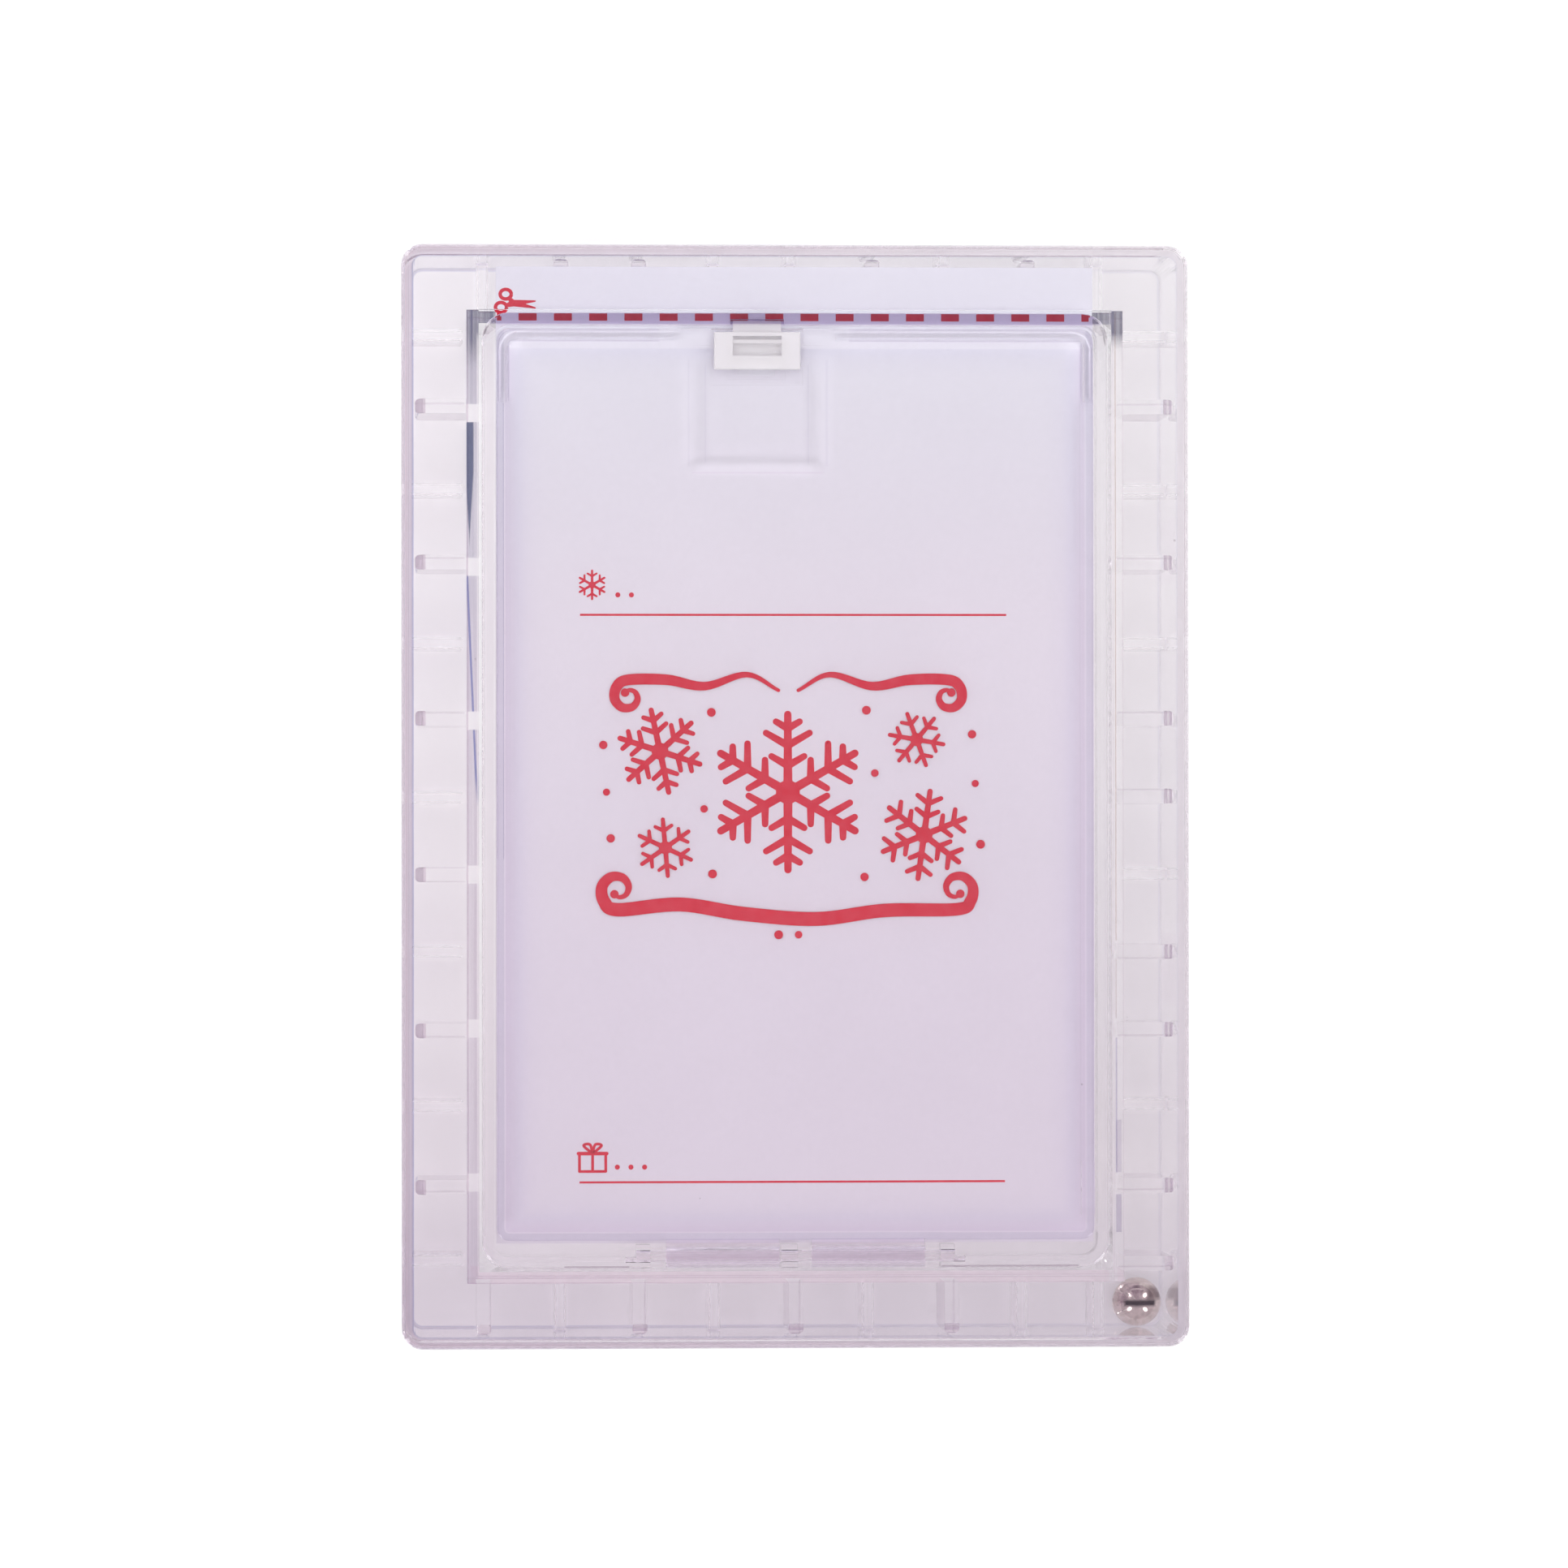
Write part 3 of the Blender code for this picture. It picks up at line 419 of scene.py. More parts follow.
# painted shade: dark lines and bands just inside the outer edge of the case and maze frame, stronger at the
# left wall
shellBand = {
    "name": "shellBand",
    "middle": (0.0, 0.0),
    "half": (37.5, 52.5),
    "corner": 2.0,
    "wander": 0.03,
    "reach": 1.5,
    # 1.0 is the outer edge, 0.0 is the whole reach inside it
    "tones": (
        (0.21, (1.0, 1.0, 1.0)),
        (0.255, (0.76, 0.77, 0.88)),
        (0.32, (0.80, 0.79, 0.86)),
        (0.37, (0.87, 0.84, 0.88)),
        (0.50, (0.89, 0.865, 0.895)),
        (0.54, (0.83, 0.795, 0.835)),
        (0.58, (0.89, 0.865, 0.895)),
        (0.68, (0.87, 0.835, 0.865)),
        (0.73, (0.86, 0.805, 0.84)),
        (0.78, (0.985, 0.97, 0.98)),
        (1.00, (0.99, 0.98, 0.99)),
    ),
    "rightShare": 0.30,              # how strong it is at the right wall against the left
}
# painted shade on the door: a dark line at its edge, a darker rim band and soft shade stripes further in
doorBand = {
    "name": "doorBand",
    "middle": (0.0, 1.15),
    "half": (28.45, 43.40),
    "corner": 1.2,
    "wander": 0.03,
    "rightShare": 1.0,
    "reach": 4.6,
    "tones": (
        (0.00, (1.0, 1.0, 1.0)),
        (0.35, (0.985, 0.985, 0.992)),
        (0.55, (0.95, 0.952, 0.975)),
        (0.68, (0.95, 0.94, 0.965)),
        (0.815, (0.93, 0.905, 0.945)),
        (0.828, (1.0, 1.0, 1.0)),
        (0.845, (1.0, 1.0, 1.0)),
        (0.858, (0.90, 0.905, 0.93)),
        (0.970, (0.905, 0.905, 0.93)),
        (0.982, (0.70, 0.68, 0.78)),
        (1.00, (0.95, 0.93, 0.96)),
    ),
}
# painted shade: thin dark lines along the sides of the beads at the door's head
beadBand = {
    "name": "beadBand",
    "middle": (0.0, 1.15),
    "half": (28.45, 43.40),
    "corner": 1.5,
    "wander": 0.02,
    "rightShare": 1.0,
    "reach": 1.5,
    "tones": (
        (0.10, (1.0, 1.0, 1.0)),
        (0.18, (1.0, 1.0, 1.0)),
        (0.225, (0.76, 0.72, 0.80)),
        (0.26, (1.0, 1.0, 1.0)),
        (0.36, (1.0, 1.0, 1.0)),
        (0.40, (0.95, 0.93, 0.95)),
        (0.46, (1.0, 1.0, 1.0)),
        (0.68, (1.0, 1.0, 1.0)),
        (0.74, (0.95, 0.93, 0.95)),
        (0.78, (1.0, 1.0, 1.0)),
        (0.85, (1.0, 1.0, 1.0)),
        (0.885, (0.72, 0.68, 0.78)),
        (0.92, (1.0, 1.0, 1.0)),
    ),
}
# painted shade: thin dark lines along the faces of the maze wall
mazeBand = {
    "name": "mazeBand",
    "middle": (0.0, 0.0),
    "half": (31.3, 46.3),
    "corner": 0.2,
    "wander": 0.02,
    "rightShare": 0.45,
    "reach": 2.6,
    "tones": (
        (0.00, (1.0, 1.0, 1.0)),
        (0.03, (0.94, 0.92, 0.94)),
        (0.45, (0.95, 0.93, 0.95)),
        (0.485, (0.80, 0.71, 0.77)),
        (0.52, (1.0, 1.0, 1.0)),
        (0.59, (1.0, 1.0, 1.0)),
        (0.61, (0.97, 0.96, 0.975)),
        (0.935, (0.98, 0.975, 0.98)),
        (0.965, (0.60, 0.45, 0.58)),
        (0.99, (0.98, 0.97, 0.98)),
    ),
}


wanderNoise = {"scale": (60, 60, 60), "spread": (0.3, 0.7)}     # per metre


# tones laid by distance inside an outline; each band made with it is painted shade
def outlineBand(setup):
    # signed distance of a rounded rectangle, in mm:
    # q = |p - middle| - (half - r);  d = |max(q, 0)| + min(max(qx, qy), 0) - r
    group, start, end = newGroup(setup["name"], (), (("Color", "NodeSocketColor"),))
    where = addNode(group, "ShaderNodeTexCoord")
    scaled = vectorMath(group, "SCALE")
    scaled.inputs["Scale"].default_value = 1 / mm
    centred = vectorMath(group, "SUBTRACT")
    centred.inputs[1].default_value = setup["middle"] + (0.0,)
    size = vectorMath(group, "ABSOLUTE")
    inner = vectorMath(group, "SUBTRACT")
    inner.inputs[1].default_value = (
        setup["half"][0] - setup["corner"], setup["half"][1] - setup["corner"], 1000,
    )
    outside = vectorMath(group, "MAXIMUM")
    length = vectorMath(group, "LENGTH")
    split = addNode(group, "ShaderNodeSeparateXYZ")
    wide = addNode(group, "ShaderNodeMath", operation="MAXIMUM")
    inside = addNode(group, "ShaderNodeMath", operation="MINIMUM")
    inside.inputs[1].default_value = 0.0
    total = addNode(group, "ShaderNodeMath", operation="ADD")
    most = setup["wander"]
    wander = noise(group, wanderNoise["scale"], 3, *wanderNoise["spread"], -most, most)
    moved = addNode(group, "ShaderNodeMath", operation="ADD")
    part = addNode(group, "ShaderNodeMapRange")
    setInputs(part, {1: setup["corner"] - setup["reach"], 2: setup["corner"]})
    ramp = colourRamp(group, setup["tones"])
    # the tones fade towards white from the left side to the right
    sides = addNode(group, "ShaderNodeSeparateXYZ")
    share = addNode(group, "ShaderNodeMapRange")
    half = setup["half"][0]
    setInputs(share, {1: -half, 2: half, 3: 1.0, 4: setup["rightShare"]})
    faded = colourMix(group, (1, 1, 1))
    joinAll(group, (
        (centred, 0, sides, 0),
        (sides, "X", share, 0),
        (share, 0, faded, 0),
        (ramp, 0, faded, 7),
        (where, "Object", scaled, 0),
        (scaled, 0, centred, 0),
        (centred, 0, size, 0),
        (size, 0, inner, 0),
        (inner, 0, outside, 0),
        (outside, 0, length, 0),
        (inner, 0, split, 0),
        (split, "X", wide, 0),
        (split, "Y", wide, 1),
        (wide, 0, inside, 0),
        (length, "Value", total, 0),
        (inside, 0, total, 1),
        (total, 0, moved, 0),
        (wander, 0, moved, 1),
        (moved, 0, part, 0),
        (part, 0, ramp, 0),
        (faded, 2, end, "Color"),
    ))
    return group


bandGroup = outlineBand(shellBand)
doorBandGroup = outlineBand(doorBand)
beadBandGroup = outlineBand(beadBand)
mazeBandGroup = outlineBand(mazeBand)


def placeMask():
    # 1 inside a box, falling to 0 over the soft width at its sides:
    # q = |p - middle| - half;  mask = clamp(-max(q) / soft)
    group, start, end = newGroup(
        "placeMask",
        (("Middle", "NodeSocketVector"), ("Half", "NodeSocketVector"), ("Soft", "NodeSocketFloat")),
        (("Mask", "NodeSocketFloat"),),
    )
    where = addNode(group, "ShaderNodeTexCoord")
    scaled = vectorMath(group, "SCALE")
    scaled.inputs["Scale"].default_value = 1 / mm
    centred = vectorMath(group, "SUBTRACT")
    size = vectorMath(group, "ABSOLUTE")
    past = vectorMath(group, "SUBTRACT")
    split = addNode(group, "ShaderNodeSeparateXYZ")
    flat = addNode(group, "ShaderNodeMath", operation="MAXIMUM")
    most = addNode(group, "ShaderNodeMath", operation="MAXIMUM")
    depth = addNode(group, "ShaderNodeMath", operation="MULTIPLY")
    depth.inputs[1].default_value = -1.0
    share = addNode(group, "ShaderNodeMath", operation="DIVIDE", use_clamp=True)
    joinAll(group, (
        (where, "Object", scaled, 0),
        (scaled, 0, centred, 0),
        (start, "Middle", centred, 1),
        (centred, 0, size, 0),
        (size, 0, past, 0),
        (start, "Half", past, 1),
        (past, 0, split, 0),
        (split, "X", flat, 0),
        (split, "Y", flat, 1),
        (flat, 0, most, 0),
        (split, "Z", most, 1),
        (most, 0, depth, 0),
        (depth, 0, share, 0),
        (start, "Soft", share, 1),
        (share, 0, end, "Mask"),
    ))
    return group


maskGroup = placeMask()


# Finishes

def clearPlastic(name, tint, haze, waves, clear=1.0):
    # returns the material with its marks node and shader, for what a piece adds
    material, tree = nodeTree(name)
    marks = addNode(tree, "ShaderNodeGroup", node_tree=marksGroup)
    setInputs(marks, {"Tint": tint + (1,), "Haze": haze + (1,), "Waves": waves})
    shader = addNode(tree, "ShaderNodeBsdfPrincipled")
    setInputs(shader, {"IOR": 1.49, "Transmission Weight": clear})
    out = addNode(tree, "ShaderNodeOutputMaterial")
    joinAll(tree, (
        (marks, "Color", shader, "Base Color"),
        (marks, "Roughness", shader, "Roughness"),
        (marks, "Normal", shader, "Normal"),
        (shader, 0, out, "Surface"),
    ))
    return material, tree, marks, shader


def times(tree, first, second):
    # two colour outputs multiplied
    node = colourMix(tree, blend_type="MULTIPLY")
    node.inputs[0].default_value = 1.0
    joinAll(tree, ((first[0], first[1], node, 6), (second[0], second[1], node, 7)))
    return node


def boxMask(tree, spans, soft):
    mask = addNode(tree, "ShaderNodeGroup", node_tree=maskGroup)
    setInputs(mask, {
        "Middle": tuple((low + high) / 2 for low, high in spans),
        "Half": tuple((high - low) / 2 for low, high in spans),
        "Soft": soft,
    })
    return mask


def tinted(tree, colour, places):
    # multiplies a colour output by a tint in each of these boxes: x, y and z spans, soft, tint
    for spans, soft, tint in places:
        mask = boxMask(tree, spans, soft)
        node = colourMix(tree, (), tint, blend_type="MULTIPLY")
        joinAll(tree, ((mask, 0, node, 0), (colour[0], colour[1], node, 6)))
        colour = (node, 2)
    return colour


caseLook = {
    "tint": (0.99, 0.975, 0.985),
    "haze": (0.98, 0.965, 0.98),
    "waves": 0.03,
    # darker patches along the side walls, uneven from side to side
    "places": (
        (((-37.6, -36.2), (12.2, 17.1), (2, 17)), 0.3, (0.93, 0.90, 0.94)),
        (((-37.6, -36.2), (-15.1, -8.8), (2, 17)), 0.3, (0.94, 0.91, 0.95)),
        (((-37.6, -36.2), (-45.0, -38.8), (2, 17)), 0.3, (0.93, 0.90, 0.94)),
        (((36.2, 37.6), (20.5, 27.0), (2, 17)), 0.3, (0.95, 0.92, 0.95)),
        (((36.2, 37.6), (-20.0, -13.0), (2, 17)), 0.3, (0.95, 0.92, 0.95)),
    ),
}


def caseFinish(look):
    material, tree, marks, shader = clearPlastic(
        "casePlastic", look["tint"], look["haze"], look["waves"]
    )
    band = addNode(tree, "ShaderNodeGroup", node_tree=bandGroup)
    both = times(tree, (marks, "Color"), (band, "Color"))
    last = tinted(tree, (both, 2), look["places"])
    joinAll(tree, ((last[0], last[1], shader, "Base Color"),))
    return material


frameLook = {
    "tint": (0.99, 0.975, 0.985),
    "haze": (0.98, 0.965, 0.98),
    "waves": 0.03,
    "foot": 1.9,                       # mm; below this is the maze wall's foot
    # painted shade along the maze wall's foot, from the foot end to the head end of the left wall
    "footTints": (
        (0.00, (0.62, 0.55, 0.66)),
        (0.30, (0.62, 0.54, 0.64)),
        (0.62, (0.58, 0.50, 0.61)),
        (0.73, (0.42, 0.38, 0.50)),
        (0.82, (0.46, 0.43, 0.55)),
        (0.95, (0.34, 0.31, 0.42)),
        (0.98, (0.03, 0.03, 0.10)),
    ),
    "footStreaks": (2200, 22, 1),      # per metre
    "streakSpread": (0.32, 0.60),
    "streakTone": (0.55, 1.0),
    "leftShadeSpan": (-30.3, -30.1),        # mm; the left wall's painted shade fades out between these
    "headSpan": (43.5, 45.0),          # the head wall's painted shade fades in between these
    "length": (-46.0, 46.0),           # mm along the foot tints
    "blade": {                         # painted shade: dark, growing from its point to its full width
        "middle": -30.95,
        "point": 23.6,
        "full": 31.5,
        "half": 0.46,
        "soft": 0.12,
        "end": (36.5, 37.0),
        "tint": (0.035, 0.045, 0.11),
    },
    "slant": {                         # painted shade: a thin dark line from its top down to its foot
        "side": -31.2,
        "top": 22.0,
        "slope": -0.0433,
        "half": 0.07,
        "foot": -1.0,
        "fade": (3.0, 0.2),            # mm over which its foot and its top fade
        "tint": (0.12, 0.13, 0.38),
    },
    "places": (
        # painted shade: a thin warm dark line along the right wall's face, bluer and wider towards the ball
        (((30.44, 30.58), (-13.8, 46.0), (19.9, 20.1)), 0.04, (0.60, 0.46, 0.42)),
        (((30.44, 30.58), (-21.2, -15.5), (19.9, 20.1)), 0.04, (0.60, 0.50, 0.50)),
        (((30.42, 30.64), (-35.9, -23.0), (19.9, 20.1)), 0.06, (0.50, 0.47, 0.62)),
        (((30.42, 31.05), (-35.9, -30.8), (19.9, 20.1)), 0.10, (0.70, 0.66, 0.76)),
        (((30.42, 31.05), (-41.6, -37.9), (19.9, 20.1)), 0.10, (0.55, 0.51, 0.64)),
        # a pinkish band at the bottom wall's foot
        (((-31.0, 31.0), (-46.4, -45.1), (-1, 1.9)), 0.2, (0.97, 0.88, 0.92)),
    ),
    "ribPitch": 14.86,
    "ribHalf": 0.8,
    "ribSoft": 0.15,
    "ribEdge": (0.58, 0.68),           # mm from a rib's middle
    "ribLine": (0.74, 0.69, 0.74),
    "coverFoot": 18.7,
    "sideGap": 15.0,                   # how much longer than wide the box is, half of it
    "mazeSide": 31.45,
}


def frameFinish(look):
    # painted shade: the foot of the maze wall is darkened in a band that breaks off at the hanging ribs
    material, tree, marks, shader = clearPlastic(
        "framePlastic", look["tint"], look["haze"], look["waves"]
    )
    band = addNode(tree, "ShaderNodeGroup", node_tree=bandGroup)
    lines = addNode(tree, "ShaderNodeGroup", node_tree=mazeBandGroup)
    both = times(tree, (marks, "Color"), (band, "Color"))
    lined = times(tree, (both, 2), (lines, "Color"))
    where = addNode(tree, "ShaderNodeTexCoord")
    split = addNode(tree, "ShaderNodeSeparateXYZ")
    joinAll(tree, ((where, "Object", split, 0),))
    x, y, z = (split, "X"), (split, "Y"), (split, "Z")
    pitch = look["ribPitch"] * mm

    def minus(first, second):
        return mathNode(tree, "SUBTRACT", first, second)

    def product(first, *others):
        for other in others:
            first = mathNode(tree, "MULTIPLY", first, other)
        return first

    def absolute(value):
        return mathNode(tree, "ABSOLUTE", value)

    def along(value, span, first, last, curve="LINEAR"):
        return fade(tree, value, span[0] * mm, span[1] * mm, first, last, curve)

    # distance to the nearest hanging rib of the left wall = |mod(y, pitch) - pitch / 2|
    low = mathNode(tree, "LESS_THAN", z, look["foot"] * mm)
    gap = absolute(minus(mathNode(tree, "FLOORED_MODULO", y, pitch), pitch / 2))
    free = along(gap, (look["ribHalf"], look["ribHalf"] + look["ribSoft"]), 0.0, 1.0, "SMOOTHSTEP")
    left = product(along(x, look["leftShadeSpan"], 1.0, 0.0), free)
    either = mathNode(tree, "MAXIMUM", left, along(y, look["headSpan"], 0.0, 1.0))
    streak = noise(tree, look["footStreaks"], 4, *look["streakSpread"], *look["streakTone"])
    footShade = product(either, (streak, 0), low)
    course = along(y, look["length"], 0.0, 1.0)
    footTint = colourRamp(tree, look["footTints"])
    foot = colourMix(tree)
    joinAll(tree, (
        (footShade[0], 0, foot, 0),
        (lined, 2, foot, 6),
        (course[0], 0, footTint, 0),
        (footTint, 0, foot, 7),
    ))
    last = tinted(tree, (foot, 2), look["places"])

    # painted shade: a dark blade and a slanting dark line over the maze wall's foot
    # |x - middle| - half(y) is below 0 in the blade, whose half width grows from its point
    cut = look["blade"]
    reach = fade(tree, y, cut["point"] * mm, cut["full"] * mm, 0.0, cut["half"] * mm)
    blade = along(minus(absolute(minus(x, cut["middle"] * mm)), reach), (-cut["soft"], 0.0), 1.0, 0.0)
    blade = product(blade, along(y, cut["end"], 1.0, 0.0))
    # |x - side - slope * (y - top)| is small along the slanting line
    way = look["slant"]
    shift = product(minus(y, way["top"] * mm), way["slope"])
    off = absolute(minus(minus(x, way["side"] * mm), shift))
    line = product(
        along(off, (way["half"], way["half"] * 2), 1.0, 0.0),
        along(y, (way["foot"], way["foot"] + way["fade"][0]), 0.0, 1.0),
        along(y, (way["top"], way["top"] + way["fade"][1]), 1.0, 0.0),
    )
    for mask, tint in ((blade, cut["tint"]), (line, way["tint"])):
        here = product(mask, free, low)
        mark = colourMix(tree, (), tint)
        joinAll(tree, ((here[0], 0, mark, 0), (last[0], last[1], mark, 6)))
        last = (mark, 2)

    # painted shade: the ribs' long edges get thin dark lines
    # below the cover, the long edges of the ribs: with c running along the wall,
    # distance to the nearest rib = |mod(c + step / 2, step) - step / 2|, the step half a pitch
    sizeX, sizeY = absolute(x), minus(absolute(y), look["sideGap"] * mm)
    sideways = mathNode(tree, "GREATER_THAN", sizeX, sizeY)
    run = addNode(tree, "ShaderNodeMix", data_type="FLOAT")
    joinAll(tree, ((sideways[0], 0, run, 0), (split, "X", run, 2), (split, "Y", run, 3)))
    turn = mathNode(tree, "FLOORED_MODULO", mathNode(tree, "ADD", (run, 0), pitch / 4), pitch / 2)
    edge = along(absolute(minus(turn, pitch / 4)), look["ribEdge"], 0.0, 1.0)
    under = mathNode(tree, "LESS_THAN", z, look["coverFoot"] * mm)
    outer = mathNode(tree, "MAXIMUM", sizeX, sizeY)
    outer = mathNode(tree, "GREATER_THAN", outer, look["mazeSide"] * mm)
    ribHere = product(edge, under, outer)
    ribbed = colourMix(tree, (), look["ribLine"], blend_type="MULTIPLY")
    joinAll(tree, (
        (ribHere[0], 0, ribbed, 0),
        (last[0], last[1], ribbed, 6),
        (ribbed, 2, shader, "Base Color"),
    ))
    return material


paperLook = {
    "stops": (
        (0.00, (0.735, 0.665, 0.76)),
        (0.30, (0.76, 0.695, 0.79)),
        (0.65, (0.795, 0.745, 0.825)),
        (0.92, (0.81, 0.80, 0.875)),
        (0.94, (0.855, 0.865, 0.94)),
    ),
    "reach": (-43.0, 51.0),
    "roughness": 0.75,
    "specular": 0.2,
    "grain": (2600, 2600, 2600),       # per metre
    "grainSpread": (0.3, 0.7),
    "grainTone": (0.985, 1.01),
    "bump": 0.25,
    "bumpDepth": 0.01,                 # mm
}


def paperFinish(look):
    # pale card with a faint fibre grain; painted light makes it lighter and bluer towards the head,
    # brightest in a strip at the head end
    material, tree = nodeTree("tagCard")
    where = addNode(tree, "ShaderNodeTexCoord")
    split = addNode(tree, "ShaderNodeSeparateXYZ")
    along = addNode(tree, "ShaderNodeMapRange")
    setInputs(along, {1: look["reach"][0] * mm, 2: look["reach"][1] * mm})
    ramp = colourRamp(tree, look["stops"])
    grain = noise(tree, look["grain"], 3, *look["grainSpread"], *look["grainTone"])
    tone = vectorMath(tree, "SCALE")
    bump = addNode(tree, "ShaderNodeBump")
    setInputs(bump, {"Strength": look["bump"], "Distance": look["bumpDepth"] * mm})
    shader = addNode(tree, "ShaderNodeBsdfPrincipled")
    setInputs(shader, {"Roughness": look["roughness"], "Specular IOR Level": look["specular"]})
    out = addNode(tree, "ShaderNodeOutputMaterial")
    joinAll(tree, (
        (where, "Object", split, 0),
        (split, "Y", along, 0),
        (along, 0, ramp, 0),
        (ramp, 0, tone, 0),
        (grain, 0, tone, "Scale"),
        (tone, 0, shader, "Base Color"),
        (grain, 0, bump, "Height"),
        (bump, 0, shader, "Normal"),
        (shader, 0, out, "Surface"),
    ))
    return material


inkLook = {
    "colour": (0.66, 0.012, 0.040),
    "worn": (0.68, 0.035, 0.065),
    "patch": (900, 900, 900),          # per metre
    "patchSpread": (0.35, 0.65),
    "roughness": 0.6,
    "specular": 0.2,
}


def inkFinish(look):
    material, tree = nodeTree("redInk")
    patch = noise(tree, look["patch"], 4, *look["patchSpread"], 0.0, 1.0)
    tone = colourMix(tree, look["colour"], look["worn"])
    shader = addNode(tree, "ShaderNodeBsdfPrincipled")
    setInputs(shader, {"Roughness": look["roughness"], "Specular IOR Level": look["specular"]})
    out = addNode(tree, "ShaderNodeOutputMaterial")
    joinAll(tree, (
        (patch, 0, tone, 0),
        (tone, 2, shader, "Base Color"),
        (shader, 0, out, "Surface"),
    ))
    return material


steelLook = {
    "colour": (0.70, 0.62, 0.58),
    "dull": (0.53, 0.46, 0.43),
    "bar": (0.10, 0.08, 0.11),          # painted reflection: the dark bar across its middle
    "barSpans": ((32.4, 35.7), (-49.52, -48.66), (-1, 30)),
    "barSoft": 0.30,
    "scuff": (1500, 1500, 300),         # per metre
    "scuffSpread": (0.45, 0.75),
    "roughness": (0.04, 0.16),
    # painted reflection: a darker patch on one side
    "side": (0.38, 0.33, 0.35),
    "sideSoft": 0.5,
    "sideSpans": ((34.5, 36.4), (-49.0, -47.3), (-1, 30)),
}


def steelFinish(look):
    # polished steel with faint scuffs, with a painted reflection: a dark bar across its middle and a darker
    # patch at one side
    material, tree = nodeTree("ballSteel")
    scuff = noise(tree, look["scuff"], 4, *look["scuffSpread"], 0.0, 1.0)
    tone = colourMix(tree, look["colour"], look["dull"])
    rough = addNode(tree, "ShaderNodeMapRange")
    fine, worn = look["roughness"]
    setInputs(rough, {1: 0.0, 2: 1.0, 3: fine, 4: worn})
    shader = addNode(tree, "ShaderNodeBsdfPrincipled")
    setInputs(shader, {"Metallic": 1.0})
    out = addNode(tree, "ShaderNodeOutputMaterial")
    darker = tinted(tree, (tone, 2), (
        (look["barSpans"], look["barSoft"], look["bar"]),
        (look["sideSpans"], look["sideSoft"], look["side"]),
    ))
    joinAll(tree, (
        (scuff, 0, tone, 0),
        (darker[0], darker[1], shader, "Base Color"),
        (scuff, 0, rough, 0),
        (rough, 0, shader, "Roughness"),
        (shader, 0, out, "Surface"),
    ))
    return material


bandSoft = 0.1     # mm over which a band fades at its box's sides


def markedPlastic(name, look):
    # clear plastic with the tinted places and the outline band that its look names
    material, tree, marks, shader = clearPlastic(
        name, look["tint"], look["haze"], look["waves"], look.get("clear", 1.0)
    )
    colour = tinted(tree, (marks, "Color"), look.get("places", ()))
    for group, inside, outside in look.get("bands", ()):
        # the band counts inside one box and not inside another
        band = addNode(tree, "ShaderNodeGroup", node_tree=group)
        masks = [boxMask(tree, spans, bandSoft) for spans in (inside, outside)]
        share = addNode(tree, "ShaderNodeMath", operation="SUBTRACT", use_clamp=True)
        both = colourMix(tree, blend_type="MULTIPLY")
        joinAll(tree, (
            (masks[0], 0, share, 0),
            (masks[1], 0, share, 1),
            (share, 0, both, 0),
            (colour[0], colour[1], both, 6),
            (band, "Color", both, 7),
        ))
        colour = (both, 2)
    joinAll(tree, ((colour[0], colour[1], shader, "Base Color"),))
    return material


everywhere = ((-100, 100), (-100, 100), (-1, 30))
trayLook = {
    "tint": (0.985, 0.965, 0.98),
    "haze": (0.97, 0.95, 0.97),
    "waves": 0.03,
    "places": (
        # painted shade: the head bar over the card darker and more lavender
        (((-30.2, 30.2), (44.9, 46.3), (16, 20.1)), 0.12, (0.67, 0.62, 0.75)),
        (((-30.2, -28.70), (-44.0, 44.8), (16, 20.1)), 0.12, (0.94, 0.91, 0.94)),
        # thin dark lines along the hinge
        (((-22.1, -15.9), (-44.80, -44.62), (15, 20.1)), 0.03, (0.50, 0.44, 0.50)),
        (((13.8, 26.9), (-44.80, -44.62), (15, 20.1)), 0.03, (0.50, 0.44, 0.50)),
    ),
}
pinLook = {"tint": (0.985, 0.965, 0.98), "haze": (0.97, 0.95, 0.97), "waves": 0.03}
doorLook = {
    "tint": (0.995, 0.985, 0.995),
    "haze": (0.985, 0.975, 0.985),
    "waves": 0.03,
    # painted shade: faint double lines down the sides of the thumb recess and one at its foot
    "places": (
        (((-10.30, -10.06), (31.4, 41.6), (18, 20.1)), 0.1, (0.965, 0.96, 0.975)),
        (((-8.68, -8.44), (31.6, 41.2), (18, 20.1)), 0.1, (0.965, 0.96, 0.975)),
        (((1.14, 1.36), (31.6, 41.2), (18, 20.1)), 0.1, (0.95, 0.945, 0.965)),
        (((2.90, 3.16), (31.4, 41.6), (18, 20.1)), 0.1, (0.955, 0.95, 0.97)),
        (((-9.9, 2.7), (30.72, 30.94), (18, 20.1)), 0.1, (0.965, 0.93, 0.96)),
        # painted shade: two thin dark lines down the head part of the left rim
        (((-28.45, -28.33), (-6.0, 37.4), (18.5, 20.1)), 0.05, (0.72, 0.68, 0.78)),
        (((-27.87, -27.73), (-6.0, 37.4), (18.5, 20.1)), 0.05, (0.66, 0.62, 0.74)),
    ),
    "bands": (
        (doorBandGroup, everywhere, ((-27.8, 27.8), (42.6, 46), (-1, 30))),
        (beadBandGroup, ((-30, 30), (37.55, 46), (-1, 30)), ((-13.0, 5.2), (41, 46), (-1, 30))),
    ),
}
latchLook = {
    "tint": (0.985, 0.965, 0.985),
    "haze": (0.98, 0.96, 0.98),
    "waves": 0.03,
    "clear": 0.52,
    "places": ((((-5.975, -1.325), (41.9, 43.45), (18, 20.1)), 0.06, (0.995, 0.99, 0.995)),),
}
trayPlastic = markedPlastic("trayPlastic", trayLook)
doorPlastic = markedPlastic("doorPlastic", doorLook)
pinPlastic = markedPlastic("pinPlastic", pinLook)
latchPlastic = markedPlastic("latchPlastic", latchLook)
